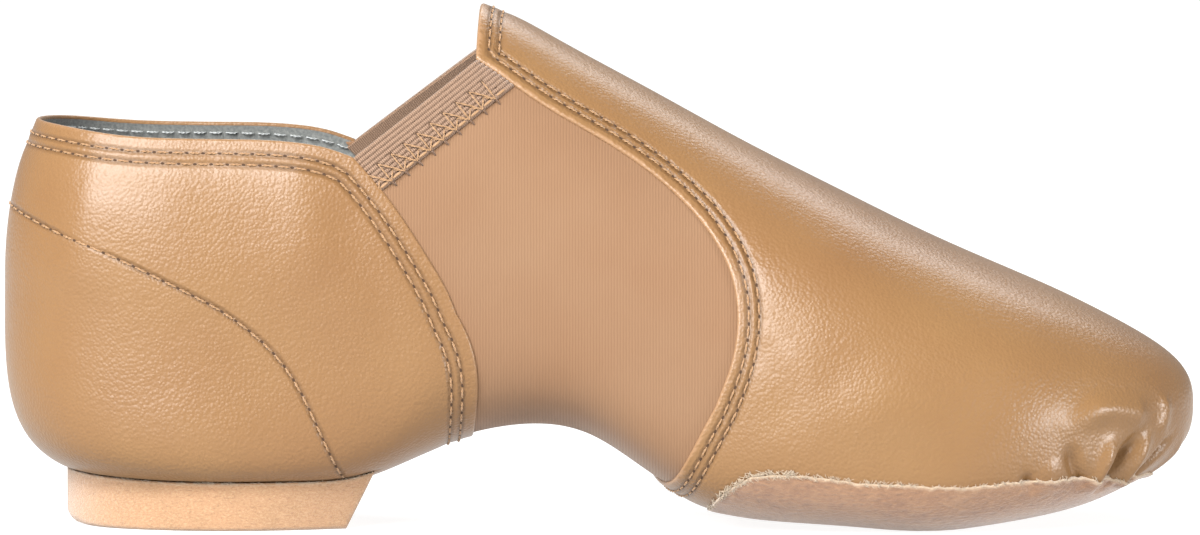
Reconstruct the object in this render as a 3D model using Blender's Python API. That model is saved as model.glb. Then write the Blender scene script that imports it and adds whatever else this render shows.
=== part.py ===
"""Slip-on split-sole jazz shoe for the right foot, at its real size.

Metres, +Z up, the toe towards +X, the outer side of the foot towards -Y.
The origin is on the floor, under the middle of the shoe's bounding box.

The form is one shoe last. A point of it has two coordinates: its station, which
runs from the back of the heel (0) to the tip of the toe (1), and its girth, which
runs from the middle of the underside (-1) round the widest line of the side (0)
to the ridge over the instep (1). Every piece is a patch of the last, laid at its
own depth under the outer face of the leather.
"""

import math

import bmesh
import bpy
import numpy as np

# Driving sizes of the last, in metres.
LENGTH = 0.240
BALL_WIDTH = 0.0825
HEEL_WIDTH = 0.0605
INSTEP_HEIGHT = 0.1048
BACK_HEIGHT = 0.0814
TOE_HEIGHT = 0.0364
HEEL_HEIGHT = 0.0105
ARCH_HEIGHT = 0.0195
TOE_SPRING = 0.0130

# Walls, layers and the clearances between them, in metres.
WALL = 0.0020
GORE_STEP = 0.0010
SOLE_THICKNESS = 0.0020
INSOLE_THICKNESS = 0.0020
INSOLE_GAP = 0.0005
ELASTIC_WIDTH = 0.0090
ELASTIC_THICKNESS = 0.0009
ELASTIC_END_GAP = 0.0005
GAP = 0.0003
HEEL_CUP = 0.0012
TREAD_FLAT = 0.0007
HEEL_BREAST_SLANT = 0.0058
HEEL_EDGE_ROUND = 0.0010
HEEL_BACK_ROUND = 0.0032
SPINE_HEEL = 0.0300
SPINE_TOE = 0.0320

# Plan of the last at its widest line: how much the ball width rules there, against
# the heel width, the outer and inner half widths as shares of that width, and the
# swing of the centre line towards the inner side as a share of the ball width.
PLAN = (
    # station, ball, outer, inner, swing
    (0.000, 0.0, 0.000, 0.000, 0.000),
    (0.020, 0.0, 0.262, 0.262, 0.000),
    (0.060, 0.0, 0.415, 0.415, 0.000),
    (0.125, 0.0, 0.492, 0.490, 0.000),
    (0.200, 0.0, 0.508, 0.492, 0.000),
    (0.300, 0.1, 0.492, 0.454, 0.000),
    (0.400, 0.3, 0.460, 0.404, 0.000),
    (0.500, 0.6, 0.452, 0.385, 0.002),
    (0.600, 0.9, 0.468, 0.408, 0.006),
    (0.680, 1.0, 0.500, 0.455, 0.012),
    (0.740, 1.0, 0.514, 0.484, 0.018),
    (0.800, 1.0, 0.497, 0.486, 0.024),
    (0.860, 1.0, 0.449, 0.452, 0.031),
    (0.910, 1.0, 0.376, 0.386, 0.038),
    (0.950, 1.0, 0.289, 0.298, 0.044),
    (0.980, 1.0, 0.185, 0.191, 0.048),
    (1.000, 1.0, 0.000, 0.000, 0.050),
)

# Underside of the last, as parts of the heel seat, of the arch and of the toe spring.
UNDERSIDE = (
    # station, heel, arch, spring
    (0.000, 1.00, 0.00, 0.00),
    (0.150, 1.00, 0.00, 0.00),
    (0.250, 1.00, 0.00, 0.00),
    (0.300, 0.98, 0.05, 0.00),
    (0.350, 0.50, 0.50, 0.00),
    (0.400, 0.10, 0.88, 0.00),
    (0.445, 0.00, 1.00, 0.00),
    (0.490, 0.00, 0.90, 0.00),
    (0.530, 0.00, 0.60, 0.00),
    (0.570, 0.00, 0.30, 0.00),
    (0.610, 0.00, 0.15, 0.00),
    (0.670, 0.00, 0.08, 0.00),
    (0.720, 0.00, 0.04, 0.00),
    (0.780, 0.00, 0.00, 0.00),
    (0.830, 0.00, 0.00, 0.09),
    (0.870, 0.00, 0.00, 0.20),
    (0.910, 0.00, 0.00, 0.36),
    (0.950, 0.00, 0.00, 0.62),
    (1.000, 0.00, 0.00, 1.00),
)

# Ridge of the last, from the toe height (0) to the instep height (1). Behind the
# throat it is the cone of the last, which the collar cuts off.
RIDGE = (
    # station, rise, shift towards the inner side as a share of the ball width
    (0.000, 0.975, 0.000),
    (0.120, 0.985, 0.000),
    (0.250, 1.010, 0.004),
    (0.330, 1.036, 0.012),
    (0.370, 1.031, 0.018),
    (0.404, 1.000, 0.024),
    (0.460, 0.897, 0.030),
    (0.540, 0.743, 0.034),
    (0.620, 0.588, 0.036),
    (0.700, 0.444, 0.036),
    (0.780, 0.305, 0.034),
    (0.860, 0.182, 0.030),
    (0.930, 0.081, 0.024),
    (1.000, 0.000, 0.016),
)

# Shape of each cross-section: the height of the widest line as a share of the
# section, and the fullness of its lower and upper quarter curves, where 0.55 is round
# and more is squarer.
SECTIONS = (
    # station, widest, low_side, low_base, up_side, up_ridge
    (0.000, 0.440, 0.58, 1.08, 0.55, 0.55),
    (0.060, 0.420, 0.76, 1.24, 0.55, 0.55),
    (0.140, 0.390, 0.95, 1.35, 0.56, 0.55),
    (0.260, 0.360, 0.98, 1.22, 0.58, 0.56),
    (0.340, 0.320, 0.80, 0.96, 0.58, 0.60),
    (0.420, 0.300, 0.70, 0.84, 0.56, 0.66),
    (0.500, 0.285, 0.72, 0.86, 0.54, 0.70),
    (0.600, 0.300, 0.82, 0.98, 0.52, 0.70),
    (0.700, 0.325, 0.86, 1.02, 0.52, 0.70),
    (0.800, 0.360, 0.86, 1.02, 0.52, 0.72),
    (0.900, 0.410, 0.84, 0.98, 0.55, 0.77),
    (1.000, 0.470, 0.80, 0.92, 0.67, 0.84),
)

# Height of the collar above the floor, as a share of the back height.
COLLAR = (
    # station, height
    (0.000, 1.000),
    (0.040, 0.990),
    (0.110, 0.972),
    (0.200, 0.968),
    (0.245, 0.960),
    (0.275, 0.943),
    (0.292, 0.925),
)

# Front edge of the leather quarter, from under the arch up to the collar.
QUARTER_EDGE = (
    # station, girth
    (0.391, -1.00),
    (0.393, -0.75),
    (0.395, -0.50),
    (0.396, -0.28),
    (0.390, -0.11),
    (0.375, 0.02),
    (0.352, 0.12),
    (0.323, 0.23),
)

# Rear edge of the leather vamp, from under the arch up to the corner of its tab.
VAMP_EDGE = (
    # station, girth
    (0.545, -1.00),
    (0.558, -0.66),
    (0.573, -0.32),
    (0.592, -0.06),
    (0.609, 0.09),
    (0.617, 0.22),
    (0.612, 0.36),
    (0.588, 0.48),
    (0.548, 0.55),
    (0.499, 0.57),
    (0.448, 0.58),
)
# The tab's corner, and the station at which its edge reaches the ridge.
TAB_CORNER = (0.399, 0.63)
TAB_TOP_STATION = 0.404

# Edge of the forefoot sole: across its rear end, then forward along its side.
SOLE_REAR = (
    # station, girth
    (0.594, -1.00),
    (0.595, -0.80),
    (0.598, -0.60),
    (0.609, -0.42),
    (0.628, -0.29),
)
SOLE_SIDE = (
    # station, girth
    (0.628, -0.29),
    (0.660, -0.25),
    (0.710, -0.25),
    (0.760, -0.24),
    (0.810, -0.25),
    (0.860, -0.26),
    (0.905, -0.32),
    (0.945, -0.45),
    (0.975, -0.56),
    (1.000, -0.62),
)

# Opening of the upper over the heel, with its rounded front end, and the heel block
# under it: its breast, and the part of its back whose lower edge is rounded more.
SEAT_END_STATION = 0.262
SEAT_ROUNDED_STATIONS = 0.060
SEAT_GIRTH = -0.82
HEEL_FRONT_STATION = 0.311
HEEL_BACK_STATION = 0.100
HEEL_EDGE = (
    # station, girth
    (0.000, -0.765),
    (0.050, -0.75),
    (0.120, -0.71),
    (0.220, -0.655),
    (0.311, -0.70),
)

# Rounding of the heel's lower edge, as shares of its radius.
HEEL_ROUNDING = (
    # drawn in, height
    (0.0, 1.00),
    (0.3, 0.45),
    (1.0, 0.00),
)

# Edge of the insole.
INSOLE_GIRTH = -0.60

# Numbers of faces along and round the pieces.
REAR_ROWS = 5
SIDE_ROWS = 15
QUARTER_COLUMNS = 14
GORE_COLUMNS = 9
TAB_COLUMNS = 4
STRIP_COLUMNS = 2
VAMP_COLUMNS = 20
SOLE_COLUMNS = VAMP_COLUMNS - STRIP_COLUMNS
HEEL_ROWS = 6
HEEL_COLUMNS = 18
INSOLE_ROWS = 5
INSOLE_COLUMNS = 40
ELASTIC_ROWS = 3
ELASTIC_COLUMNS = 10

# How strongly rows of faces crowd together at the gore and at both ends of the insole,
# and how fast the bend of the vamp's rear edge fades out towards the toe.
QUARTER_CROWDING = 0.30
INSOLE_CROWDING = 0.35
VAMP_FADE = 1.6

OUTER, INNER = -1, 1
WELD = 1e-6

# Colours, roughness and metallic value of each material.
FINISHES = {
    "leather": ((0.52, 0.33, 0.16, 1.0), 0.45, 0.0),
    "suede": ((0.62, 0.42, 0.26, 1.0), 0.95, 0.0),
    "elastic": ((0.58, 0.38, 0.24, 1.0), 0.90, 0.0),
    "lining": ((0.55, 0.57, 0.56, 1.0), 0.95, 0.0),
}


def spline(knots, values, at):
    """The natural cubic spline through the values at the knots, read at the places given."""
    knots, values, at = (np.asarray(a, float) for a in (knots, values, at))
    width = np.diff(knots)
    slope = np.diff(values) / width
    count = len(knots)
    system, right = np.eye(count), np.zeros(count)
    for i in range(1, count - 1):
        system[i, i - 1 : i + 2] = width[i - 1], 2 * (width[i - 1] + width[i]), width[i]
        right[i] = 6 * (slope[i] - slope[i - 1])
    bend = np.linalg.solve(system, right)
    i = np.clip(np.searchsorted(knots, at) - 1, 0, count - 2)
    before, after, span = at - knots[i], knots[i + 1] - at, width[i]
    cubic = (bend[i] * after**3 + bend[i + 1] * before**3) / (6 * span)
    low = (values[i] / span - bend[i] * span / 6) * after
    high = (values[i + 1] / span - bend[i + 1] * span / 6) * before
    return cubic + low + high


def column(table, index):
    return [row[index] for row in table]


def turn(station):
    """The turn (0 to 1) of a station. Even turns give stations that close up at both ends."""
    return np.arccos(np.clip(1 - 2 * np.asarray(station, float), -1, 1)) / math.pi


def station_of(turns):
    return (1 - np.cos(math.pi * np.asarray(turns, float))) / 2


def by_station(table, index, stations):
    return spline(column(table, 0), column(table, index), stations)


def by_turn(table, index, turns):
    """A table read against the turn, which makes the rounded ends of an outline smooth."""
    return spline(turn(column(table, 0)), column(table, index), turns)


def half_width(side, turns):
    """Half width of the plan on one side of the centre line."""
    ball = np.clip(by_turn(PLAN, 1, turns), 0, 1)
    outer, inner = by_turn(PLAN, 2, turns), by_turn(PLAN, 3, turns)
    width = HEEL_WIDTH + ball * (BALL_WIDTH - HEEL_WIDTH)
    return width * np.where(side == OUTER, outer, inner)


def swing(stations):
    return BALL_WIDTH * by_station(PLAN, 4, stations)


def spine_x(x):
    """The spine that the sections stand on: it stops short of both ends, so that the
    sections fan out round the heel and the toe."""
    heel = np.minimum(x, 2 * SPINE_HEEL)
    toe = np.minimum(LENGTH - x, 2 * SPINE_TOE)
    back = SPINE_HEEL + heel**2 / (4 * SPINE_HEEL) - heel
    front = SPINE_TOE + toe**2 / (4 * SPINE_TOE) - toe
    return x + back - front


def underside(stations):
    heel = (HEEL_HEIGHT - HEEL_CUP) * by_station(UNDERSIDE, 1, stations)
    arch = ARCH_HEIGHT * by_station(UNDERSIDE, 2, stations)
    spring = TOE_SPRING * by_station(UNDERSIDE, 3, stations)
    return heel + arch + spring - TREAD_FLAT


def ridge(stations):
    return TOE_HEIGHT + (INSTEP_HEIGHT - TOE_HEIGHT) * by_station(RIDGE, 1, stations)


def last_point(side, turns, girth):
    """The point of the last's outer face at a turn and girth of one side. Past an end
    of either, it goes on across to the other side."""
    side, turns, girth = np.broadcast_arrays(side, turns, girth)
    crosses = (turns < 0) | (turns > 1)
    side = np.where(crosses, -side, side)
    turns = np.where(turns < 0, -turns, np.where(turns > 1, 2 - turns, turns))
    crosses = np.abs(girth) > 1
    side = np.where(crosses, -side, side)
    girth = np.where(crosses, 2 * np.sign(girth) - girth, girth)

    stations = station_of(turns)
    x = LENGTH * stations
    spine = spine_x(x)
    spine_stations = spine / LENGTH
    shift = BALL_WIDTH * by_station(RIDGE, 2, spine_stations)
    spine_y = swing(spine_stations) + shift
    edge_y = swing(stations) + side * half_width(side, turns)

    low = girth < 0
    share = np.abs(girth)
    by_side = [by_station(SECTIONS, index, stations) for index in (2, 3, 4, 5)]
    wall = np.where(low, by_side[0], by_side[2])
    cap = np.where(low, by_side[1], by_side[3])
    rest = 1 - share
    out = rest**3 + 3 * rest**2 * share + 3 * rest * share**2 * cap
    rise = 3 * rest**2 * share * wall + 3 * rest * share**2 + share**3

    point_x = spine + (x - spine) * out
    point_y = spine_y + (edge_y - spine_y) * out
    point_stations = point_x / LENGTH
    bottom, top = underside(point_stations), ridge(point_stations)
    widest = bottom + (top - bottom) * by_station(SECTIONS, 1, point_stations)
    point_z = widest + rise * np.where(low, bottom - widest, top - widest)
    return np.stack([point_x, point_y, point_z], axis=-1)


def last_normal(side, turns, girth):
    """The outward unit normal of the last, from differences across a small step. The
    middle lines stop short of their own ends, where every section meets."""
    step = 2e-3
    turns = np.where(np.abs(girth) > 0.995, np.clip(turns, 0.02, 0.98), turns)
    along = last_point(side, turns + step, girth) - last_point(side, turns - step, girth)
    up = last_point(side, turns, girth + step) - last_point(side, turns, girth - step)
    normal = np.cross(along, up) * -np.asarray(side, float)[..., None]
    return normal / np.linalg.norm(normal, axis=-1, keepdims=True)


def laid(side, domain, depth):
    """Points at a depth under the last's outer face. domain holds turns and girths."""
    turns, girth = domain[..., 0], domain[..., 1]
    side = np.full(turns.shape, side)
    return last_point(side, turns, girth) - depth * last_normal(side, turns, girth)


def girth_at(turns, height):
    """The girth at which the last is this high, by halving."""
    turns, height = np.broadcast_arrays(np.asarray(turns, float), height)
    low, high = np.full(turns.shape, -1.0), np.full(turns.shape, 1.0)
    for _ in range(40):
        middle = (low + high) / 2
        under = last_point(INNER, turns, middle)[..., 2] < height
        low, high = np.where(under, middle, low), np.where(under, high, middle)
    return (low + high) / 2


def lerp(first, second, share):
    share = np.asarray(share, float)[..., None]
    return first + (second - first) * share


def edge_curve(rows, count):
    """A smooth line of turns and girths through the rows of a table."""
    rows = np.array(rows)
    places = np.linspace(0, 1, len(rows))
    at = np.linspace(0, 1, count)
    return np.stack([turn(spline(places, rows[:, 0], at)), spline(places, rows[:, 1], at)], -1)


def shifted(line, distance):
    """A line of the last moved sideways along the surface, to the right of its run."""
    step = 1e-3
    turns, girth = np.clip(line[:, 0], step, 1 - step), line[:, 1]
    along = last_point(INNER, turns + step, girth) - last_point(INNER, turns - step, girth)
    up = last_point(INNER, turns, girth + step) - last_point(INNER, turns, girth - step)
    along, up = along / (2 * step), up / (2 * step)
    run = np.gradient(last_point(INNER, line[:, 0], line[:, 1]), axis=0)
    away = np.cross(run, np.cross(along, up))
    away *= distance / np.linalg.norm(away, axis=-1, keepdims=True)
    metric = np.stack([along, up], -1)
    moves = [np.linalg.lstsq(basis, way, rcond=None)[0] for basis, way in zip(metric, away)]
    return line + np.array(moves)


def seat_girth(stations):
    """Edge of the upper's opening over the heel: the middle of the underside past it."""
    share = np.clip((SEAT_END_STATION - np.asarray(stations)) / SEAT_ROUNDED_STATIONS, 0, 1)
    return -1 + (SEAT_GIRTH + 1) * np.sqrt(1 - (1 - share) ** 2)


def crowded(end, count):
    """Turns from 0 to an end, closer together towards it."""
    share = np.linspace(0, 1, count)
    return end * share * (1 + QUARTER_CROWDING * (1 - share))


def collar_line(count):
    """Top edge of the quarter, from the back of the heel to the start of the gore."""
    turns = crowded(turn(COLLAR[-1][0]), count)
    height = BACK_HEIGHT * by_turn(COLLAR, 1, turns)
    return np.stack([turns, girth_at(turns, height)], -1)


def gore_top_line(count):
    """Top edge of the gore: straight in side view from the quarter to the tab's corner."""
    start = collar_line(2)[-1]
    end = np.array([turn(TAB_CORNER[0]), TAB_CORNER[1]])
    ends = last_point(INNER, np.array([start[0], end[0]]), np.array([start[1], end[1]]))
    share = np.linspace(0, 1, count)
    points = lerp(ends[0], ends[1], share)
    turns = turn(points[:, 0] / LENGTH)
    line = np.stack([turns, girth_at(turns, points[:, 2])], -1)
    line[0], line[-1] = start, end
    return line


def quarter_edge(count):
    end = collar_line(2)[-1]
    return edge_curve([*QUARTER_EDGE, (station_of(end[0]), end[1])], count)


def vamp_edge(count):
    return edge_curve([*VAMP_EDGE, TAB_CORNER], count)


def patch(left, right, bottom, top, fade=1.0):
    """A grid of turns and girths between four lines. The left line's own bends fade
    out towards the right one."""
    up = np.linspace(0, 1, len(left))[:, None, None]
    across = np.linspace(0, 1, len(bottom))[None, :, None]
    near = (1 - across) ** fade
    far = 1 - near
    sides = near * left[:, None] + far * right[:, None]
    low = bottom[None] - near * bottom[0] - far * bottom[-1]
    high = top[None] - near * top[0] - far * top[-1]
    return sides + (1 - up) * low + up * high


def quarter_domain():
    """The leather quarter of one side, from the back of the heel to the gore."""
    rows = REAR_ROWS + SIDE_ROWS + 1
    right, top = quarter_edge(rows), collar_line(QUARTER_COLUMNS + 1)
    turns = crowded(right[0, 0], QUARTER_COLUMNS + 1)
    bottom = np.stack([turns, seat_girth(station_of(turns))], -1)
    left = np.stack([np.zeros(rows), np.linspace(bottom[0, 1], top[0, 1], rows)], -1)
    return patch(left, right, bottom, top)


def gore_domain():
    """The stretch gore of one side, which meets the other under the arch."""
    rows = REAR_ROWS + SIDE_ROWS + 1
    left, right = quarter_edge(rows), vamp_edge(rows)
    top = gore_top_line(GORE_COLUMNS + 1)
    turns = np.linspace(left[0, 0], right[0, 0], GORE_COLUMNS + 1)
    bottom = np.stack([turns, np.full(len(turns), -1.0)], -1)
    return patch(left, right, bottom, top)


def vamp_domains():
    """The leather vamp of one side, as the strip behind the forefoot sole and the
    forepart. The forepart's top line climbs the edge of the tab, then follows the
    ridge to the toe."""
    edge = vamp_edge(REAR_ROWS + SIDE_ROWS + 1)
    rear = edge_curve(SOLE_REAR, REAR_ROWS + 1)
    side = edge_curve(SOLE_SIDE, SOLE_COLUMNS + 1)
    across = np.linspace(0, 1, STRIP_COLUMNS + 1)
    join = lerp(edge[REAR_ROWS], rear[-1], across)
    strip = patch(edge[: REAR_ROWS + 1], rear, lerp(edge[0], rear[0], across), join)

    tab_top = turn(TAB_TOP_STATION)
    tab = lerp(edge[-1], np.array([tab_top, 1.0]), np.linspace(0, 1, TAB_COLUMNS + 1))
    ridge_turns = np.linspace(tab_top, 1, VAMP_COLUMNS - TAB_COLUMNS + 1)[1:]
    top = np.concatenate([tab, np.stack([ridge_turns, np.ones(len(ridge_turns))], -1)])
    bottom = np.concatenate([join, side[1:]])
    tip = np.linspace(bottom[-1, 1], 1, SIDE_ROWS + 1)
    right = np.stack([np.ones(SIDE_ROWS + 1), tip], -1)
    return strip, patch(edge[REAR_ROWS:], right, bottom, top, VAMP_FADE)


def sole_domain():
    """The forefoot sole of one side, a gap inside its opening in the leather."""
    rear = shifted(edge_curve(SOLE_REAR, REAR_ROWS + 1), GAP)
    side = shifted(edge_curve(SOLE_SIDE, SOLE_COLUMNS + 1), GAP)
    rear[0, 1], side[-1, 0] = -1, 1
    rear[-1] = side[0] = (rear[-1] + side[0]) / 2
    turns = np.linspace(rear[0, 0], 1, SOLE_COLUMNS + 1)
    bottom = np.stack([turns, np.full(len(turns), -1.0)], -1)
    girth = np.linspace(-1, side[-1, 1], REAR_ROWS + 1)
    return patch(rear, np.stack([np.ones(len(girth)), girth], -1), bottom, side)


class Skin:
    """Collects the four-cornered faces of one piece from grids and strips of points."""

    def __init__(self):
        self.points, self.faces, self.count = [], [], 0

    def grid(self, points):
        rows, columns = points.shape[:2]
        first = self.count + np.arange(rows * columns).reshape(rows, columns)
        corners = [first[:-1, :-1], first[:-1, 1:], first[1:, 1:], first[1:, :-1]]
        self.faces += np.stack(corners, -1).reshape(-1, 4).tolist()
        self.points.append(points.reshape(-1, 3))
        self.count += rows * columns

    def strip(self, *lines):
        self.grid(np.stack(lines))

    def to_object(self, name, material):
        """Welds the faces into one closed mesh, turns them outwards and shades them."""
        mesh = bpy.data.meshes.new(name)
        mesh.from_pydata(np.concatenate(self.points).tolist(), [], self.faces)
        shape = bmesh.new()
        shape.from_mesh(mesh)
        bmesh.ops.remove_doubles(shape, verts=shape.verts, dist=WELD)
        bmesh.ops.dissolve_degenerate(shape, edges=shape.edges, dist=WELD)
        bmesh.ops.recalc_face_normals(shape, faces=shape.faces)
        shape.to_mesh(mesh)
        shape.free()
        mesh.shade_smooth()
        mesh.set_sharp_from_angle(angle=math.radians(40))
        mesh.materials.append(material)
        made = bpy.data.objects.new(name, mesh)
        bpy.context.scene.collection.objects.link(made)
        return made


def centred(points):
    """Moves points from the last's frame to the shoe's: the middle of the plan is the origin."""
    turns = np.linspace(0, 1, 401)
    edges = [
        swing(station_of(turns)) + side * half_width(side, turns) for side in (OUTER, INNER)
    ]
    middle = (edges[0].min() + edges[1].max()) / 2
    return points - np.array([LENGTH / 2, middle, 0.0])


def on_floor(points):
    """The tread is pressed flat where the rounded last would reach under the floor."""
    points[..., 2] = np.maximum(points[..., 2], 0.0)
    return points


def build_upper(material):
    """The hollow upper: leather quarter and vamp, with the gores a step lower between."""
    skin = Skin()
    quarter, gore = quarter_domain(), gore_domain()
    strip, vamp = vamp_domains()
    leather = (0.0, GORE_STEP, WALL)
    seat = quarter[0]
    open_seat = seat[: int(np.argmin(seat[:, 1] > -1)) + 1]
    for side in (OUTER, INNER):
        for domain, depth in ((quarter, 0.0), (gore, GORE_STEP), (strip, 0.0), (vamp, 0.0)):
            skin.grid(centred(laid(side, domain, depth)))
            skin.grid(centred(laid(side, domain, WALL)))
        walls = (
            (quarter[:, -1], leather[:2]),
            (strip[:, 0], leather[:2]),
            (vamp[:, 0], leather[:2]),
            (gore[-1], leather[1:]),
            (quarter[-1], leather),
            (vamp[-1, : TAB_COLUMNS + 1], leather),
            (open_seat, leather),
            (strip[:, -1], leather),
            (vamp[0, STRIP_COLUMNS:], leather),
        )
        for line, depths in walls:
            skin.strip(*(centred(laid(side, line, depth)) for depth in depths))
    return skin.to_object("upper", material)


def build_layer(name, material, domain, top_depth, bottom_depth, press=False):
    """A layer under the foot: two faces laid at two depths, closed round the edge."""
    skin = Skin()
    for side in (OUTER, INNER):
        faces = []
        for depth in (bottom_depth, top_depth):
            points = laid(side, domain, depth)
            if press and depth == bottom_depth:
                points = on_floor(points)
            faces.append(centred(points))
            skin.grid(faces[-1])
        skin.strip(faces[0][-1], faces[1][-1])
        starts_at_heel = domain[0, 0, 0] == 0
        if not starts_at_heel:
            skin.strip(faces[0][:, 0], faces[1][:, 0])
    return skin.to_object(name, material)


def build_forefoot_sole(material):
    """The suede patch under the ball and toes, let into the upper along its seam."""
    return build_layer("forefoot_sole", material, sole_domain(), SOLE_THICKNESS, 0.0, press=True)


def build_insole(material):
    """The sock insole, which covers both openings of the underside from the inside."""
    share = np.linspace(0, 1, INSOLE_COLUMNS + 1)
    turns = share + INSOLE_CROWDING * np.sin(2 * math.pi * share) / (2 * math.pi)
    girth = np.linspace(-1, INSOLE_GIRTH, INSOLE_ROWS + 1)
    domain = np.stack(np.meshgrid(turns, girth), -1)
    bottom = WALL + INSOLE_GAP
    return build_layer("insole", material, domain, bottom + INSOLE_THICKNESS, bottom)


def heel_round(turns):
    """How far the bottom edge of the heel block is rounded: more at its back."""
    back = np.clip(1 - turns / turn(HEEL_BACK_STATION), 0, 1)
    back = back * back * (3 - 2 * back)
    return HEEL_EDGE_ROUND + (HEEL_BACK_ROUND - HEEL_EDGE_ROUND) * back


def build_heel(material):
    """The heel block: its top follows the seat of the last, and its breast slants
    back towards the floor."""
    skin = Skin()
    turns = np.linspace(0, turn(HEEL_FRONT_STATION), HEEL_COLUMNS + 1)
    edge = by_station(HEEL_EDGE, 1, station_of(turns))
    up = np.linspace(0, 1, HEEL_ROWS + 1)[:, None]
    domain = np.stack([np.broadcast_to(turns, (HEEL_ROWS + 1, len(turns))), -1 + up * (edge + 1)], -1)
    for side in (OUTER, INNER):
        top = laid(side, domain, 0.0)
        top[..., 2] -= GAP
        back_x, front_x = top[-1, 0, 0], top[0, -1, 0]
        middle = np.stack([top[0, :, 0], top[0, :, 1]], -1)
        rim = top[-1, :, :2] - middle
        reach = np.linalg.norm(rim, axis=-1)
        layers = [top]
        for share, height_share in HEEL_ROUNDING:
            height = heel_round(turns) * height_share
            drawn_in = 1 - share * heel_round(turns) / reach
            layer = top.copy()
            layer[..., :2] = middle + (top[..., :2] - middle) * drawn_in[None, :, None]
            fallen = 1 - height / top[-1, :, 2]
            along = np.clip((top[..., 0] - back_x) / (front_x - back_x), 0, 1)
            layer[..., 0] -= HEEL_BREAST_SLANT * fallen * along
            layer[..., 2] = height
            layers.append(layer)
        layers = [centred(layer) for layer in layers]
        skin.grid(layers[0])
        skin.grid(layers[-1])
        skin.strip(*(layer[-1] for layer in layers))
        skin.strip(*(layer[:, -1] for layer in layers))
    return skin.to_object("heel", material)


def distance_below(line, start, direction):
    """How far points seen from the side lie below a line through start."""
    offset = line - start
    return offset[:, 0] * direction[1] - offset[:, 1] * direction[0]


def build_elastic(name, side, material):
    """The ribbed elastic along the top edge of one gore, between quarter and vamp."""
    top = gore_top_line(2)
    ends = last_point(INNER, top[:, 0], top[:, 1])[:, [0, 2]]
    direction = (ends[1] - ends[0]) / np.linalg.norm(ends[1] - ends[0])
    sides = []
    for edge, towards in ((quarter_edge(201)[::-1], 1), (vamp_edge(201)[::-1], -1)):
        line = last_point(INNER, edge[:, 0], edge[:, 1])[:, [0, 2]]
        below = distance_below(line, ends[0], direction)
        reached = int(np.argmax(below > ELASTIC_WIDTH)) + 1
        widths = np.linspace(0, ELASTIC_WIDTH, ELASTIC_ROWS + 1)[::-1]
        points = [np.interp(widths, below[:reached], line[:reached, i]) for i in (0, 1)]
        sides.append(np.stack(points, -1) + towards * ELASTIC_END_GAP * direction)
    across = np.linspace(0, 1, ELASTIC_COLUMNS + 1)[None, :, None]
    seen = sides[0][:, None] + (sides[1] - sides[0])[:, None] * across
    turns = turn(seen[..., 0] / LENGTH)
    domain = np.stack([turns, girth_at(turns, seen[..., 1])], -1)
    skin = Skin()
    depths = (GORE_STEP - GAP, GORE_STEP - GAP - ELASTIC_THICKNESS)
    faces = [centred(laid(side, domain, depth)) for depth in depths]
    for face in faces:
        skin.grid(face)
    for border in (np.s_[0], np.s_[-1], np.s_[:, 0], np.s_[:, -1]):
        skin.strip(faces[0][border], faces[1][border])
    return skin.to_object(name, material)


def make_material(name):
    colour, roughness, metallic = FINISHES[name]
    material = bpy.data.materials.new(name)
    material.use_nodes = True
    shader = material.node_tree.nodes["Principled BSDF"]
    shader.inputs["Base Color"].default_value = colour
    shader.inputs["Roughness"].default_value = roughness
    shader.inputs["Metallic"].default_value = metallic
    return material


def main():
    for old in list(bpy.data.objects):
        bpy.data.objects.remove(old)
    materials = {name: make_material(name) for name in FINISHES}
    build_upper(materials["leather"])
    build_forefoot_sole(materials["suede"])
    build_heel(materials["suede"])
    build_insole(materials["lining"])
    build_elastic("elastic_outer", OUTER, materials["elastic"])
    build_elastic("elastic_inner", INNER, materials["elastic"])


main()
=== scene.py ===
"""Looks of a slip-on split-sole jazz shoe for the right foot.

Metres, +Z up, the toe towards +X, the outer side of the foot towards -Y, the origin
on the floor under the middle of the shoe.

Every surface is a patch of one shoe last. A point of the last has a station, from the
back of the heel (0) to the tip of the toe (1), and a girth, from the middle of the
underside (-1) round the widest line (0) to the ridge over the instep (1). Leather,
knit, elastic and suede are laid at their own depth under the outer face of the
leather, and each panel's edge is rolled over.
"""

import math

import bmesh
import bpy
import numpy as np
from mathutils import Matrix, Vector


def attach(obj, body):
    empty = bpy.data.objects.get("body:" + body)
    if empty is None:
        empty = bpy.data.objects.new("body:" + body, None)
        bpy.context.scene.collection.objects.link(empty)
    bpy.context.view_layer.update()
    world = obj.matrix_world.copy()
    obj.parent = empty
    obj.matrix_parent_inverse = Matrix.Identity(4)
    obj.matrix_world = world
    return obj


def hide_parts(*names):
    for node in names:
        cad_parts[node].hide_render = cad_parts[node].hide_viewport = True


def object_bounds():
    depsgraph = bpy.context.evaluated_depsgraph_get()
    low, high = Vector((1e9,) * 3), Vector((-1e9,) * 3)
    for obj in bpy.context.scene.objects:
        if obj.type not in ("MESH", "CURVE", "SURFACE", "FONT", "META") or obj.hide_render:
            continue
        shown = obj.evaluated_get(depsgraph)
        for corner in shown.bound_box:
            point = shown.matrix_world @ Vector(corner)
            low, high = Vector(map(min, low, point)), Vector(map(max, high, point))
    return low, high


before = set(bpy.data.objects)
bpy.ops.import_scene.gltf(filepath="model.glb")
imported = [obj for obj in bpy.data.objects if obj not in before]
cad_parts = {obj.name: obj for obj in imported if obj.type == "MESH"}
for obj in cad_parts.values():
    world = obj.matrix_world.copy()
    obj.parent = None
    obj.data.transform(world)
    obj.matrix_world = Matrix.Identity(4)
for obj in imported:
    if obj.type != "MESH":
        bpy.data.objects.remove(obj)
CAD_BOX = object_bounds()
MM = 0.001

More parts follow.
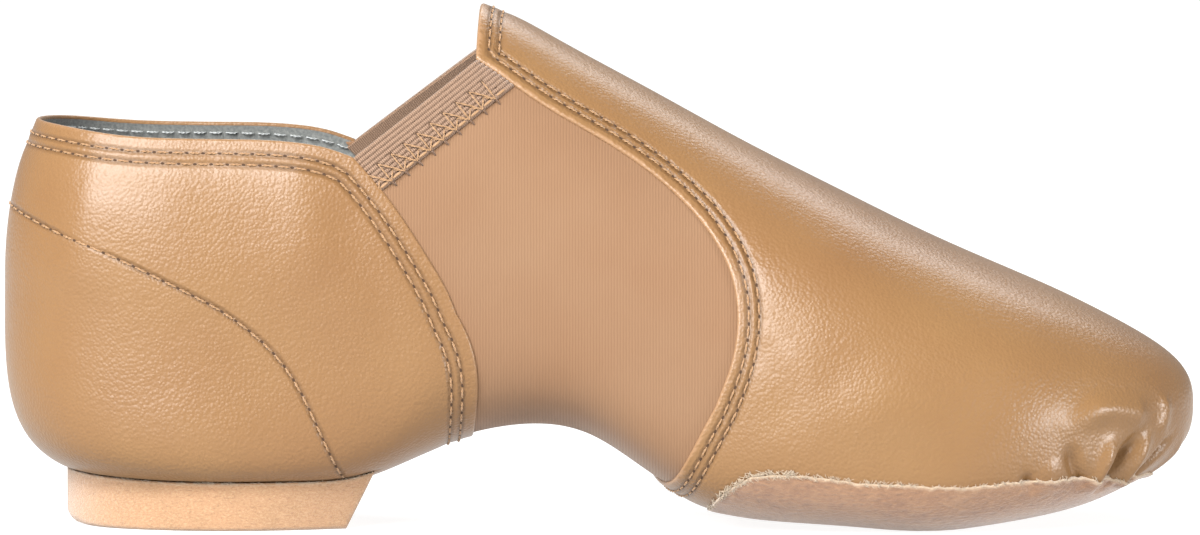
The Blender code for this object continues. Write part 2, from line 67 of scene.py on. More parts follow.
# Driving sizes of the last, in metres.
LENGTH = CAD_BOX[1][0] - CAD_BOX[0][0]
BALL_WIDTH = 0.0825
HEEL_WIDTH = 0.0605
INSTEP_HEIGHT = 0.1048
BACK_HEIGHT = 0.0814
TOE_HEIGHT = 0.0364
HEEL_HEIGHT = 0.0105
ARCH_HEIGHT = 0.0195
TOE_SPRING = 0.0130
HEEL_CUP = 0.0012
TREAD_FLAT = 0.0007
SPINE_HEEL = 0.0300
SPINE_TOE = 0.0320

# Walls and layers, in metres.
WALL = 0.0020
GORE_STEP = 0.0010
LEATHER_ROLL = 0.00055
LINING_DEPTH = 0.0018
TOE_LINING_DEPTH = 0.0045
SUEDE_PROUD = 0.0004
SUEDE_LAP = 0.0008
RIM_FOLLOW = 0.0030
HEEL_PROUD = 0.0002
INSOLE_DEPTH = 0.0045
HEEL_BREAST_SLANT = 0.0058
HEEL_EDGE_ROUND = 0.0008
HEEL_BACK_ROUND = 0.0030
ELASTIC_WIDTH = 0.0087
SUEDE_SKIRT = 0.0004
DEEPEST_FOLD = 0.0005
INSOLE_BACK = WALL + 0.0005
ELASTIC_BACK = WALL + 0.0003

# The elastic's face, in metres: its depth, the rise of its cords, and how deep, how far
# from its ends and over what length it sinks under the leather.
ELASTIC_DEPTH = 0.0006
CORD_RISE = 0.00045
ELASTIC_SINK = 0.0007
SINK_START = 0.0010
SINK_REACH = 0.0020

# Leather over its padding, in metres: how far it fills out, how far its sewn edge is
# pressed down, how soon it rises behind the rows, the height and width of the crest
# between the rows, and the depth and reach of the tuck above the heel block.
BODY_RISE = 0.0002
EDGE_PRESS = 0.0005
PUFF_REACH = 0.0032
CREST = 0.0001
CREST_WIDTH = 0.0009
TUCK = 0.0004
TUCK_REACH = 0.0008

# Plain numbers: how fast the bends of the vamp's back edge fade out towards the toe, how
# much of a fold dies away at its end, the cords of the elastic, the plies' turns along a
# stitch, how flat a thread lies, and the starts of the random draws.
VAMP_FADE = 1.6
FOLD_FADE = 0.9
ELASTIC_CORDS = 9
PLY_TURNS = 1.5
THREAD_FLATNESS = 0.8
RIM_SEED = 5
FRAY_SEED = 11

# Sewing, in metres. Stitches lie a little sunk in the leather and the cloth.
STITCH = 0.0033
THREAD = 0.00046
THREAD_LIFT = 0.00030
STITCH_SINK = 0.00010
HOLE = (0.00040, 0.00024)
HOLE_LIFT = 0.00006
LINING_ROW = 0.0015
QUARTER_ROWS = (0.0026, 0.0048)
VAMP_ROWS = (0.0019, 0.0040)
CLOTH_SINK = 0.00005

# The overlock stitch, in metres: its length, how far up the elastic its holes and loops
# lie, how far it stays from the leather, the lift of its threads and holes, and where
# its dark ends stop. LEG, LOOP and TAIL are each a thread's radius and arch.
ZIGZAG = 0.0033
ZIGZAG_RISE = 0.0045
ZIGZAG_MIDDLE = 0.0019
ZIGZAG_LOW = 0.00015
LOOP_ROW = 0.0005
OVERLOCK_END = 0.0012
OVERLOCK_LIFT = 0.00024
OVERLOCK_HOLE = (0.00036, 0.00030)
OVERLOCK_HOLE_LIFT = 0.00015
TAIL_DROP = 0.0011
TAIL_SLANT = 0.0005
LEG = (0.00020, 0.00018)
LOOP = (0.00030, 0.00002)
TAIL = (0.00019, 0.00025)

# Cut rims and loose fibres, in metres.
RIM_WEAR = 0.00022
FIBRE = 0.00007
FIBRE_ARCH = 0.00015
PATCH_TUFTS = (
    # from share, to share, fibres, length mm
    (0.18, 0.26, 60, 0.9),
    (0.24, 0.36, 260, 1.3),
    (0.34, 0.50, 170, 0.9),
    (0.50, 0.72, 120, 0.6),
    (0.72, 0.86, 50, 0.8),
)
HEEL_TUFTS = (
    # from share, to share, fibres, length mm
    (0.05, 0.90, 90, 0.4),
    (0.30, 0.40, 40, 0.8),
    (0.52, 0.62, 50, 0.8),
    (0.90, 1.00, 60, 0.7),
)
# Where the lining comes up to the leather's edge, as a start and a reach up its rows and
# a reach in columns, and where it thickens for the toe, as a start and a reach in
# stations. The station up to which the heel block's back is rounder.
LINING_RISE = (0.93, 0.07)
LINING_CORNER = 6
TOE_LINING = (0.80, 0.08)
HEEL_BACK = 0.10

# Values for the faces that no seam or rim is near, in millimetres.
AWAY_FROM_SEAMS = 4.0
AWAY_FROM_RIM = 9.0

# Patterns of the materials, in metres: the leather's pebbles and creases, the ribs of
# the knit. In millimetres: how far a seam's groove and its painted shade reach, the
# winding's step on the elastic's cords, and the fuzz of the suede's rim at its widest.
PEBBLE = 0.68 * MM
WRINKLE = 0.95 * MM
KNIT_RIB = 0.60 * MM
GROOVE_REACH = 1.1
WINDING_MM = 0.42
FRAYED_RIM = 1.6

# Points along the shoe's lines, rows and columns of its grids, and how many points on
# either side round a corner. The vamp has rear rows, side rows, and columns for its
# strip, its forepart and its tab. The lining's last number is for the tab too.
QUARTER_CORNER = 9
VAMP_CORNER = 5
COLLAR_POINTS = 160
QUARTER_EDGE_POINTS = 200
VAMP_EDGE_POINTS = 240
TAB_POINTS = 60
COUNTER_POINTS = 200
HEEL_POINTS = 60
HEEL_FRAY_POINTS = 160
ELASTIC_EDGE_POINTS = 200
QUARTER_GRID = (200, 210)
VAMP_GRID = (30, 170, 24, 270, 44)
GORE_GRID = (150, 90)
INSOLE_GRID = (26, 130)
SOLE_GRID = (46, 240)
HEEL_GRID = (24, 110)
HEEL_LAYERS = 26
ROLL_STEPS = 7
LINING_GRID = (90, 90, 24)
CORD_ROWS = 8
ELASTIC_COLUMNS = 150
ELASTIC_ENDS_GRID = (30, 60)

# How far one layer reaches under the next, and from point to point of a seam's edge,
# in metres.
UNDERLAP = 1.5 * MM
SEAM_SPACING = 0.5 * MM

# Half the side of the table that the shoe stands on, in metres.
TABLE_REACH = 30.0

# Each softbox's place, target and size in metres, and its power in watts.
SOFTBOXES = {
    "key_softbox": ((-0.78, -1.12, 0.58), (0, 0, 0.05), (1.1, 0.36), 27.0),
    "high_softbox": ((-0.60, -0.90, 1.00), (0, 0, 0.05), (1.1, 0.40), 42.0),
    "side_softbox": ((1.10, -0.50, 0.14), (0.08, 0, 0.03), (0.30, 0.20), 12.0),
    "back_softbox": ((0.10, 0.90, 0.90), (0, 0, 0.05), (1.0, 0.40), 7.0),
}

PLAN = (
    # station, ball, outer, inner, swing
    (0.000, 0.0, 0.000, 0.000, 0.000),
    (0.020, 0.0, 0.262, 0.262, 0.000),
    (0.060, 0.0, 0.415, 0.415, 0.000),
    (0.125, 0.0, 0.492, 0.490, 0.000),
    (0.200, 0.0, 0.508, 0.492, 0.000),
    (0.300, 0.1, 0.492, 0.454, 0.000),
    (0.400, 0.3, 0.460, 0.404, 0.000),
    (0.500, 0.6, 0.452, 0.385, 0.002),
    (0.600, 0.9, 0.468, 0.408, 0.006),
    (0.680, 1.0, 0.500, 0.455, 0.012),
    (0.740, 1.0, 0.514, 0.484, 0.018),
    (0.800, 1.0, 0.497, 0.486, 0.024),
    (0.860, 1.0, 0.449, 0.452, 0.031),
    (0.910, 1.0, 0.376, 0.386, 0.038),
    (0.950, 1.0, 0.289, 0.298, 0.044),
    (0.980, 1.0, 0.185, 0.191, 0.048),
    (1.000, 1.0, 0.000, 0.000, 0.050),
)
UNDERSIDE = (
    # station, heel, arch, spring
    (0.000, 1.00, 0.00, 0.00),
    (0.150, 1.00, 0.00, 0.00),
    (0.250, 1.00, 0.00, 0.00),
    (0.300, 0.98, 0.05, 0.00),
    (0.350, 0.50, 0.50, 0.00),
    (0.400, 0.10, 0.88, 0.00),
    (0.445, 0.00, 1.00, 0.00),
    (0.490, 0.00, 0.90, 0.00),
    (0.530, 0.00, 0.60, 0.00),
    (0.570, 0.00, 0.30, 0.00),
    (0.610, 0.00, 0.15, 0.00),
    (0.670, 0.00, 0.08, 0.00),
    (0.720, 0.00, 0.04, 0.00),
    (0.780, 0.00, 0.00, 0.00),
    (0.830, 0.00, 0.00, 0.09),
    (0.870, 0.00, 0.00, 0.20),
    (0.910, 0.00, 0.00, 0.36),
    (0.950, 0.00, 0.00, 0.62),
    (1.000, 0.00, 0.00, 1.00),
)
RIDGE = (
    # station, rise, shift
    (0.000, 0.975, 0.000),
    (0.120, 0.985, 0.000),
    (0.250, 1.010, 0.004),
    (0.330, 1.036, 0.012),
    (0.370, 1.031, 0.018),
    (0.404, 1.000, 0.024),
    (0.460, 0.897, 0.030),
    (0.540, 0.743, 0.034),
    (0.620, 0.588, 0.036),
    (0.700, 0.444, 0.036),
    (0.780, 0.305, 0.034),
    (0.860, 0.182, 0.030),
    (0.930, 0.081, 0.024),
    (1.000, 0.000, 0.016),
)
SECTIONS = (
    # station, widest, low_side, low_base, up_side, up_ridge
    (0.000, 0.440, 0.58, 1.08, 0.55, 0.55),
    (0.060, 0.420, 0.76, 1.24, 0.55, 0.55),
    (0.140, 0.390, 0.95, 1.35, 0.56, 0.55),
    (0.260, 0.360, 0.98, 1.22, 0.58, 0.56),
    (0.340, 0.320, 0.80, 0.96, 0.58, 0.60),
    (0.420, 0.300, 0.70, 0.84, 0.56, 0.66),
    (0.500, 0.285, 0.72, 0.86, 0.54, 0.70),
    (0.600, 0.300, 0.82, 0.98, 0.52, 0.70),
    (0.700, 0.325, 0.86, 1.02, 0.52, 0.70),
    (0.800, 0.360, 0.86, 1.02, 0.52, 0.72),
    (0.900, 0.410, 0.84, 0.98, 0.55, 0.77),
    (1.000, 0.470, 0.80, 0.92, 0.67, 0.84),
)
COLLAR = (
    # station, height as a share of the back height
    (0.000, 1.000),
    (0.040, 0.990),
    (0.110, 0.972),
    (0.200, 0.968),
    (0.245, 0.960),
    (0.275, 0.943),
    (0.292, 0.925),
)
QUARTER_EDGE = (
    # station, girth
    (0.391, -1.00),
    (0.393, -0.75),
    (0.395, -0.50),
    (0.396, -0.28),
    (0.390, -0.11),
    (0.375, 0.02),
    (0.352, 0.12),
    (0.323, 0.23),
)
VAMP_EDGE = (
    # station, girth
    (0.545, -1.00),
    (0.558, -0.66),
    (0.573, -0.32),
    (0.592, -0.06),
    (0.609, 0.09),
    (0.617, 0.22),
    (0.612, 0.36),
    (0.588, 0.48),
    (0.548, 0.55),
    (0.499, 0.57),
    (0.448, 0.58),
)
TAB_CORNER = (0.399, 0.63)
TAB_TOP = 0.404
SOLE_REAR = (
    # station, girth
    (0.594, -1.00),
    (0.595, -0.80),
    (0.598, -0.60),
    (0.609, -0.42),
    (0.628, -0.29),
)
SOLE_SIDE = (
    # station, girth
    (0.628, -0.29),
    (0.660, -0.25),
    (0.710, -0.25),
    (0.760, -0.24),
    (0.810, -0.25),
    (0.860, -0.26),
    (0.905, -0.32),
    (0.945, -0.45),
    (0.975, -0.56),
    (1.000, -0.62),
)
HEEL_FRONT = 0.311
HEEL_EDGE = (
    # station, girth
    (0.000, -0.765),
    (0.050, -0.75),
    (0.120, -0.71),
    (0.220, -0.655),
    (0.311, -0.70),
)
COUNTER_ROW = (
    # station, girth
    (0.000, 0.17),
    (0.041, 0.13),
    (0.093, 0.09),
    (0.165, 0.02),
    (0.214, -0.05),
    (0.249, -0.17),
    (0.274, -0.42),
    (0.289, -0.74),
)

OUTER, INNER = -1, 1
WELD = 1e-6
# A wave texture of scale 1 repeats in bands this far apart.
BAND = math.pi / 10


# The last


def spline(knots, values, at):
    """The natural cubic spline through the values at the knots, read at the places given."""
    knots, values, at = (np.asarray(a, float) for a in (knots, values, at))
    width = np.diff(knots)
    slope = np.diff(values) / width
    count = len(knots)
    system, right = np.eye(count), np.zeros(count)
    for i in range(1, count - 1):
        system[i, i - 1 : i + 2] = width[i - 1], 2 * (width[i - 1] + width[i]), width[i]
        right[i] = 6 * (slope[i] - slope[i - 1])
    bend = np.linalg.solve(system, right)
    i = np.clip(np.searchsorted(knots, at) - 1, 0, count - 2)
    before, after, span = at - knots[i], knots[i + 1] - at, width[i]
    cubic = (bend[i] * after**3 + bend[i + 1] * before**3) / (6 * span)
    low = (values[i] / span - bend[i] * span / 6) * after
    high = (values[i + 1] / span - bend[i + 1] * span / 6) * before
    return cubic + low + high


def column(table, index):
    return [row[index] for row in table]


def turn(station):
    """The turn (0 to 1) of a station. Even turns give stations that close up at both ends."""
    return np.arccos(np.clip(1 - 2 * np.asarray(station, float), -1, 1)) / math.pi


def station_of(turns):
    return (1 - np.cos(math.pi * np.asarray(turns, float))) / 2


def by_station(table, index, stations):
    return spline(column(table, 0), column(table, index), stations)


def by_turn(table, index, turns):
    """A table read against the turn, which makes the rounded ends of an outline smooth."""
    return spline(turn(column(table, 0)), column(table, index), turns)


def half_width(side, turns):
    """Half width of the plan on one side of the centre line."""
    ball = np.clip(by_turn(PLAN, 1, turns), 0, 1)
    outer, inner = by_turn(PLAN, 2, turns), by_turn(PLAN, 3, turns)
    width = HEEL_WIDTH + ball * (BALL_WIDTH - HEEL_WIDTH)
    return width * np.where(side == OUTER, outer, inner)


def swing(stations):
    return BALL_WIDTH * by_station(PLAN, 4, stations)


def spine_x(x):
    """The spine that the sections stand on: it stops short of both ends, so that the
    sections fan out round the heel and the toe."""
    heel = np.minimum(x, 2 * SPINE_HEEL)
    toe = np.minimum(LENGTH - x, 2 * SPINE_TOE)
    back = SPINE_HEEL + heel**2 / (4 * SPINE_HEEL) - heel
    front = SPINE_TOE + toe**2 / (4 * SPINE_TOE) - toe
    return x + back - front


def underside(stations):
    heel = (HEEL_HEIGHT - HEEL_CUP) * by_station(UNDERSIDE, 1, stations)
    arch = ARCH_HEIGHT * by_station(UNDERSIDE, 2, stations)
    spring = TOE_SPRING * by_station(UNDERSIDE, 3, stations)
    return heel + arch + spring - TREAD_FLAT


def ridge(stations):
    return TOE_HEIGHT + (INSTEP_HEIGHT - TOE_HEIGHT) * by_station(RIDGE, 1, stations)


def plan_middle():
    """Sideways middle of the plan, which lies over the origin."""
    turns = np.linspace(0, 1, 401)
    low, high = (
        swing(station_of(turns)) + side * half_width(side, turns) for side in (OUTER, INNER)
    )
    return (low.min() + high.max()) / 2


PLAN_MIDDLE = plan_middle()


def last_point(side, turns, girth):
    """The point of the last's outer face at a turn and girth of one side. It stands
    out = r^3 + 3 r^2 s + 3 r s^2 * fullness of the way from the spine to the plan's
    edge, and rises 3 r^2 s * fullness + 3 r s^2 + s^3 of the way from the widest line
    to the ridge or the underside, where s is the girth's size and r = 1 - s. Past an
    end of the turns or the girth it goes on across to the other side."""
    side, turns, girth = np.broadcast_arrays(side, turns, girth)
    crosses = (turns < 0) | (turns > 1)
    side = np.where(crosses, -side, side)
    turns = np.where(turns < 0, -turns, np.where(turns > 1, 2 - turns, turns))
    crosses = np.abs(girth) > 1
    side = np.where(crosses, -side, side)
    girth = np.where(crosses, 2 * np.sign(girth) - girth, girth)

    stations = station_of(turns)
    x = LENGTH * stations
    spine = spine_x(x)
    spine_stations = spine / LENGTH
    shift = BALL_WIDTH * by_station(RIDGE, 2, spine_stations)
    spine_y = swing(spine_stations) + shift
    edge_y = swing(stations) + side * half_width(side, turns)

    low = girth < 0
    share = np.abs(girth)
    low_side, low_base, up_side, up_ridge = (
        by_station(SECTIONS, index, stations) for index in (2, 3, 4, 5)
    )
    wall = np.where(low, low_side, up_side)
    cap = np.where(low, low_base, up_ridge)
    rest = 1 - share
    out = rest**3 + 3 * rest**2 * share + 3 * rest * share**2 * cap
    rise = 3 * rest**2 * share * wall + 3 * rest * share**2 + share**3

    point_x = spine + (x - spine) * out
    point_y = spine_y + (edge_y - spine_y) * out
    point_stations = point_x / LENGTH
    bottom, top = underside(point_stations), ridge(point_stations)
    widest = bottom + (top - bottom) * by_station(SECTIONS, 1, point_stations)
    point_z = widest + rise * np.where(low, bottom - widest, top - widest)
    return np.stack([point_x - LENGTH / 2, point_y - PLAN_MIDDLE, point_z], axis=-1)


def last_normal(side, turns, girth):
    """The outward unit normal of the last, from differences across a small step. The
    middle lines stop short of their own ends, where every section meets."""
    step = 2e-3
    turns = np.where(np.abs(girth) > 0.995, np.clip(turns, 0.02, 0.98), turns)
    along = last_point(side, turns + step, girth) - last_point(side, turns - step, girth)
    up = last_point(side, turns, girth + step) - last_point(side, turns, girth - step)
    normal = np.cross(along, up) * -np.asarray(side, float)[..., None]
    return normal / np.linalg.norm(normal, axis=-1, keepdims=True)


def frame_at(side, domain):
    """Points and outward normals of the last at the turns and girths of a domain."""
    turns, girth = domain[..., 0], domain[..., 1]
    sides = np.full(turns.shape, side)
    return last_point(sides, turns, girth), last_normal(sides, turns, girth)


def laid(side, domain, depth=0.0):
    """Points at a depth under the last's outer face: point - depth * normal."""
    points, normals = frame_at(side, domain)
    return points - np.asarray(depth)[..., None] * normals


def flat(side, line):
    """The line's points on the last."""
    return laid(side, line)


def girth_at(turns, height):
    """The girth at which the last is this high, by halving."""
    turns, height = np.broadcast_arrays(np.asarray(turns, float), height)
    low, high = np.full(turns.shape, -1.0), np.full(turns.shape, 1.0)
    for _ in range(40):
        middle = (low + high) / 2
        under = last_point(INNER, turns, middle)[..., 2] < height
        low, high = np.where(under, middle, low), np.where(under, high, middle)
    return (low + high) / 2


# Lines and patches of the last, as arrays of turns and girths


def lerp(first, second, share):
    return first + (second - first) * np.asarray(share, float)[..., None]


def line_of(turns, girths):
    """A line from its turns and girths, one of which may be a single number."""
    return np.stack(np.broadcast_arrays(turns, girths), -1)


def edge_curve(rows, count):
    """A smooth line of turns and girths through the rows of a table."""
    rows = np.array(rows)
    places = np.linspace(0, 1, len(rows))
    at = np.linspace(0, 1, count)
    return line_of(turn(spline(places, rows[:, 0], at)), spline(places, rows[:, 1], at))


def run_along(points):
    """Distance travelled along a line of points."""
    steps = np.linalg.norm(np.diff(points, axis=0), axis=-1)
    return np.concatenate([[0.0], np.cumsum(steps)])


def at_lengths(line, travelled, lengths):
    """A line read at lengths along it."""
    return np.stack([np.interp(lengths, travelled, line[:, i]) for i in range(line.shape[1])], -1)


def evened(side, line, spacing):
    """The line with its points an even distance apart on the last."""
    travelled = run_along(flat(side, line))
    count = max(2, int(round(travelled[-1] / spacing)) + 1)
    return at_lengths(line, travelled, np.linspace(0, travelled[-1], count))


def softened(line, reach):
    """The line with its corners rounded: each point is the mean of those within reach
    points of it, and the ends stay."""
    padded = np.concatenate([2 * line[0] - line[reach:0:-1], line, 2 * line[-1] - line[-2 : -reach - 2 : -1]])
    window = np.hanning(2 * reach + 3)[1:-1]
    window /= window.sum()
    return np.stack([np.convolve(padded[:, i], window, "valid") for i in (0, 1)], -1)


def surface_basis(side, line):
    """How a point moves with its turn and with its girth, along a line of the last."""
    step = 1e-3
    turns, girth = np.clip(line[:, 0], step, 1 - step), np.clip(line[:, 1], step - 1, 1 - step)
    sides = np.full(turns.shape, side)
    along = last_point(sides, turns + step, girth) - last_point(sides, turns - step, girth)
    up = last_point(sides, turns, girth + step) - last_point(sides, turns, girth - step)
    return along / (2 * step), up / (2 * step)


def shifted(side, line, distance):
    """A line moved sideways over the last, to the right of its run as the outer face
    shows it on the outer side. The move is the surface's own normal crossed with the
    run, written in turns and girths."""
    along, up = surface_basis(side, line)
    run = np.gradient(flat(side, line), axis=0)
    away = np.cross(run, np.cross(along, up))
    away *= distance / np.linalg.norm(away, axis=-1, keepdims=True)
    a, b, c = (along * along).sum(-1), (along * up).sum(-1), (up * up).sum(-1)
    p, q = (away * along).sum(-1), (away * up).sum(-1)
    size = a * c - b * b
    return line + np.stack([(p * c - q * b) / size, (q * a - p * b) / size], -1)


def patch(left, right, bottom, top, fade=1.0):
    """A grid of turns and girths between four lines. The left line's own bends fade
    out towards the right one."""
    up = np.linspace(0, 1, len(left))[:, None, None]
    across = np.linspace(0, 1, len(bottom))[None, :, None]
    near = (1 - across) ** fade
    far = 1 - near
    sides = near * left[:, None] + far * right[:, None]
    low = bottom[None] - near * bottom[0] - far * bottom[-1]
    high = top[None] - near * top[0] - far * top[-1]
    return sides + (1 - up) * low + up * high


def collar_line(count):
    """Top edge of the quarter, from the back of the heel to the start of the gore."""
    turns = np.linspace(0, turn(COLLAR[-1][0]), count)
    height = BACK_HEIGHT * by_turn(COLLAR, 1, turns)
    return line_of(turns, girth_at(turns, height))


def gore_top_line(count):
    """Top edge of the gore: straight in side view from the quarter to the tab's corner."""
    start = collar_line(2)[-1]
    end = np.array([turn(TAB_CORNER[0]), TAB_CORNER[1]])
    ends = flat(INNER, np.stack([start, end]))
    points = lerp(ends[0], ends[1], np.linspace(0, 1, count))
    turns = turn(points[:, 0] / LENGTH + 0.5)
    line = line_of(turns, girth_at(turns, points[:, 2]))
    line[0], line[-1] = start, end
    return line


def quarter_edge(count):
    end = collar_line(2)[-1]
    return edge_curve([*QUARTER_EDGE, (station_of(end[0]), end[1])], count)


def vamp_edge(count):
    return edge_curve([*VAMP_EDGE, TAB_CORNER], count)


def tab_edge(count):
    """Back edge of the tab, from its corner up to the ridge."""
    corner = np.array([turn(TAB_CORNER[0]), TAB_CORNER[1]])
    return lerp(corner, np.array([turn(TAB_TOP), 1.0]), np.linspace(0, 1, count))


# Seams


def quarter_outline(side):
    """The free edge of the quarter: along the collar, round its corner, down the front."""
    line = np.concatenate([collar_line(COLLAR_POINTS), quarter_edge(QUARTER_EDGE_POINTS)[::-1][1:]])
    return softened(evened(side, line, SEAM_SPACING), QUARTER_CORNER)


def vamp_outline(side):
    """The free edge of the vamp: down the tab from the ridge, then round the gore."""
    line = np.concatenate([tab_edge(TAB_POINTS)[::-1], vamp_edge(VAMP_EDGE_POINTS)[::-1][1:]])
    return softened(evened(side, line, SEAM_SPACING), VAMP_CORNER)


def quarter_rows(side):
    """The sewn rows of the quarter: two along its edge, and the counter's."""
    outline = quarter_outline(side)
    rows = [shifted(side, outline, row) for row in QUARTER_ROWS]
    return [*rows, edge_curve(COUNTER_ROW, COUNTER_POINTS)]


def vamp_rows(side):
    outline = vamp_outline(side)
    return [shifted(side, outline, -row) for row in VAMP_ROWS]


def along_line(points, line):
    """Distance of each point to the nearest piece of a line, and how far along the
    line (0 to 1) that place is, found piece by piece."""
    shape = points.shape[:-1]
    points = points.reshape(-1, 3)
    nearest, where = np.full(len(points), 1.0), np.zeros(len(points))
    travelled = run_along(line)
    for i, (start, end) in enumerate(zip(line[:-1], line[1:])):
        run = end - start
        share = np.clip((points - start) @ run / max(run @ run, 1e-18), 0, 1)
        gap = points - start - share[:, None] * run
        size = np.sqrt((gap * gap).sum(-1))
        closer = size < nearest
        nearest = np.where(closer, size, nearest)
        where = np.where(closer, travelled[i] + share * (travelled[i + 1] - travelled[i]), where)
    return nearest.reshape(shape), (where / travelled[-1]).reshape(shape)


def smooth(value, start=0.0, reach=1.0):
    """Rises from 0 at the start to 1 a reach further on, as 3 v^2 - 2 v^3."""
    value = np.clip((value - start) / reach, 0, 1)
    return value * value * (3 - 2 * value)


# Folds of the toe as they fan out from the rim of the suede, and the rolls between
# them. A negative height is a trough.
TOE_FOLDS = (
    # start station, girth, middle station, girth, end station, girth, height mm, width mm
    (0.863, -0.29, 0.859, -0.24, 0.855, -0.17, -1.30, 1.1),
    (0.879, -0.32, 0.879, -0.22, 0.878, -0.10, 0.45, 2.4),
    (0.905, -0.31, 0.899, -0.20, 0.893, -0.04, -1.70, 1.6),
    (0.919, -0.42, 0.926, -0.21, 0.934, -0.03, 1.35, 1.9),
    (0.925, -0.42, 0.939, -0.23, 0.955, -0.06, -3.10, 1.45),
    (0.946, -0.46, 0.954, -0.29, 0.964, -0.06, 1.20, 1.5),
    (0.960, -0.52, 0.973, -0.32, 0.984, -0.17, -2.10, 1.05),
    (0.992, -0.60, 0.994, -0.42, 0.992, -0.16, 0.60, 1.8),
)
# The roll over the tops of the folds, where the leather is still full, and the one beside it.
TOE_ROLLS = (
    # start station, girth, middle station, girth, end station, girth, height mm, width mm
    (0.950, 0.05, 0.920, 0.10, 0.894, 0.01, 1.40, 2.6),
    (0.973, -0.06, 0.975, 0.03, 0.971, 0.16, 0.80, 1.7),
)
# Soft wrinkles of worn leather, where the shoe bends and where the foot fills it.
SOFT_FOLDS = (
    # start station, girth, middle station, girth, end station, girth, height mm, width mm
    (0.655, -0.10, 0.700, 0.00, 0.790, 0.20, 0.45, 7.0),
    (0.800, -0.16, 0.850, -0.02, 0.880, 0.10, 0.35, 6.0),
    (0.640, 0.40, 0.700, 0.52, 0.760, 0.62, 0.25, 6.0),
    (0.700, 0.14, 0.745, 0.30, 0.790, 0.46, -0.30, 6.0),
    (0.640, 0.16, 0.655, 0.06, 0.660, -0.12, -0.35, 4.5),
    (0.066, 0.06, 0.070, 0.20, 0.075, 0.34, 0.55, 6.5),
    (0.250, 0.28, 0.255, 0.18, 0.250, 0.02, 0.45, 5.5),
    (0.150, -0.30, 0.190, -0.33, 0.230, -0.34, 0.25, 7.0),
    (0.170, 0.36, 0.175, 0.20, 0.180, 0.04, -0.30, 8.0),
    (0.330, -0.48, 0.350, -0.29, 0.372, -0.10, 0.30, 4.5),
    (0.290, 0.18, 0.320, 0.02, 0.330, -0.20, -0.30, 5.0),
)


def folds(side, points, table):
    """The relief of a table's folds: height * exp(-(gap / width)^2), strongest at the
    start of each line and dying away to its end."""
    relief = np.zeros(points.shape[:-1])
    for *places, height, width in table:
        knots = np.array(places).reshape(3, 2)
        line = edge_curve(knots, 13)
        gap, share = along_line(points, flat(side, line))
        fade = 1 - smooth(share, 0.5, 0.5) * FOLD_FADE
        relief += fade * height * MM * np.exp(-((gap / (width * MM)) ** 2))
    return relief


def puff(gap, row):
    """Leather pressed down along its sewn edge, and filling out behind the rows:
    rise - press * exp(-(gap - row) / reach), with a low crest between the rows."""
    past = np.maximum(gap - row, 0)
    between_rows = np.exp(-((np.minimum(gap, row) - row / 1.45) ** 2) / CREST_WIDTH**2)
    return BODY_RISE - EDGE_PRESS * np.exp(-past / PUFF_REACH) + CREST * between_rows


def heel_line(count):
    """Where the heel block meets the leather, from the back to the breast."""
    turns = np.linspace(0, turn(HEEL_FRONT), count)
    return line_of(turns, by_station(HEEL_EDGE, 1, station_of(turns)))


def gap_to_seam(side, points, line):
    """Distance of each point to a seam, of which every third point will do."""
    return along_line(points, flat(side, line)[::3])[0]


def quarter_relief(side, points):
    gap = gap_to_seam(side, points, quarter_outline(side))
    to_heel, _ = along_line(points, flat(side, heel_line(HEEL_POINTS)))
    tucked = -TUCK * np.exp(-((to_heel / TUCK_REACH) ** 2))
    return puff(gap, QUARTER_ROWS[1]) + folds(side, points, SOFT_FOLDS) + tucked


def vamp_relief(side, points):
    gap = gap_to_seam(side, points, vamp_outline(side))
    gathers = sum(folds(each, points, TOE_FOLDS + TOE_ROLLS) for each in (OUTER, INNER))
    return puff(gap, VAMP_ROWS[1]) + folds(side, points, SOFT_FOLDS) + gathers


def seam_mm(side, points, rows):
    """Distance to the nearest sewn row in millimetres, for the leather's grooves and their painted shade."""
    return np.minimum.reduce([gap_to_seam(side, points, line) for line in rows]) / MM


# Meshes


class Cloth:
    """Collects the faces of one piece from grids of points, with values for its material."""

    def __init__(self):
        self.points, self.faces, self.count = [], [], 0
        self.values = {}
        self.plan = []

    def grid(self, points, plan=None, **values):
        rows, columns = points.shape[:2]
        first = self.count + np.arange(rows * columns).reshape(rows, columns)
        corners = [first[:-1, :-1], first[:-1, 1:], first[1:, 1:], first[1:, :-1]]
        self.faces.append(np.stack(corners, -1).reshape(-1, 4))
        self.points.append(points.reshape(-1, 3))
        plan = np.zeros((rows, columns, 2)) if plan is None else plan
        self.plan.append(plan.reshape(-1, 2))
        for name in set(self.values) | set(values):
            held = self.values.setdefault(name, [np.zeros(self.count)])
            held.append(np.broadcast_to(values.get(name, 0.0), (rows, columns)).reshape(-1))
        self.count += rows * columns

    def to_object(self, name, material, outwards=True):
        """Welds the grids into one mesh, turns its faces outwards and shades it smooth."""
        points, faces = np.concatenate(self.points), np.concatenate(self.faces)
        mesh = bpy.data.meshes.new(name)
        mesh.from_pydata(points.tolist(), [], faces.tolist())
        for label, held in self.values.items():
            layer = mesh.attributes.new(label, "FLOAT", "POINT")
            layer.data.foreach_set("value", np.concatenate(held).astype(np.float32))
        corner_points = np.empty(len(mesh.loops), np.int32)
        mesh.loops.foreach_get("vertex_index", corner_points)
        plan = np.concatenate(self.plan)[corner_points]
        mesh.uv_layers.new(name="surface").data.foreach_set("uv", plan.reshape(-1).astype(np.float32))
        shape = bmesh.new()
        shape.from_mesh(mesh)
        bmesh.ops.remove_doubles(shape, verts=shape.verts, dist=WELD)
        bmesh.ops.dissolve_degenerate(shape, edges=shape.edges, dist=WELD)
        if outwards:
            bmesh.ops.recalc_face_normals(shape, faces=shape.faces)
        shape.to_mesh(mesh)
        shape.free()
        return finished(name, mesh, material)


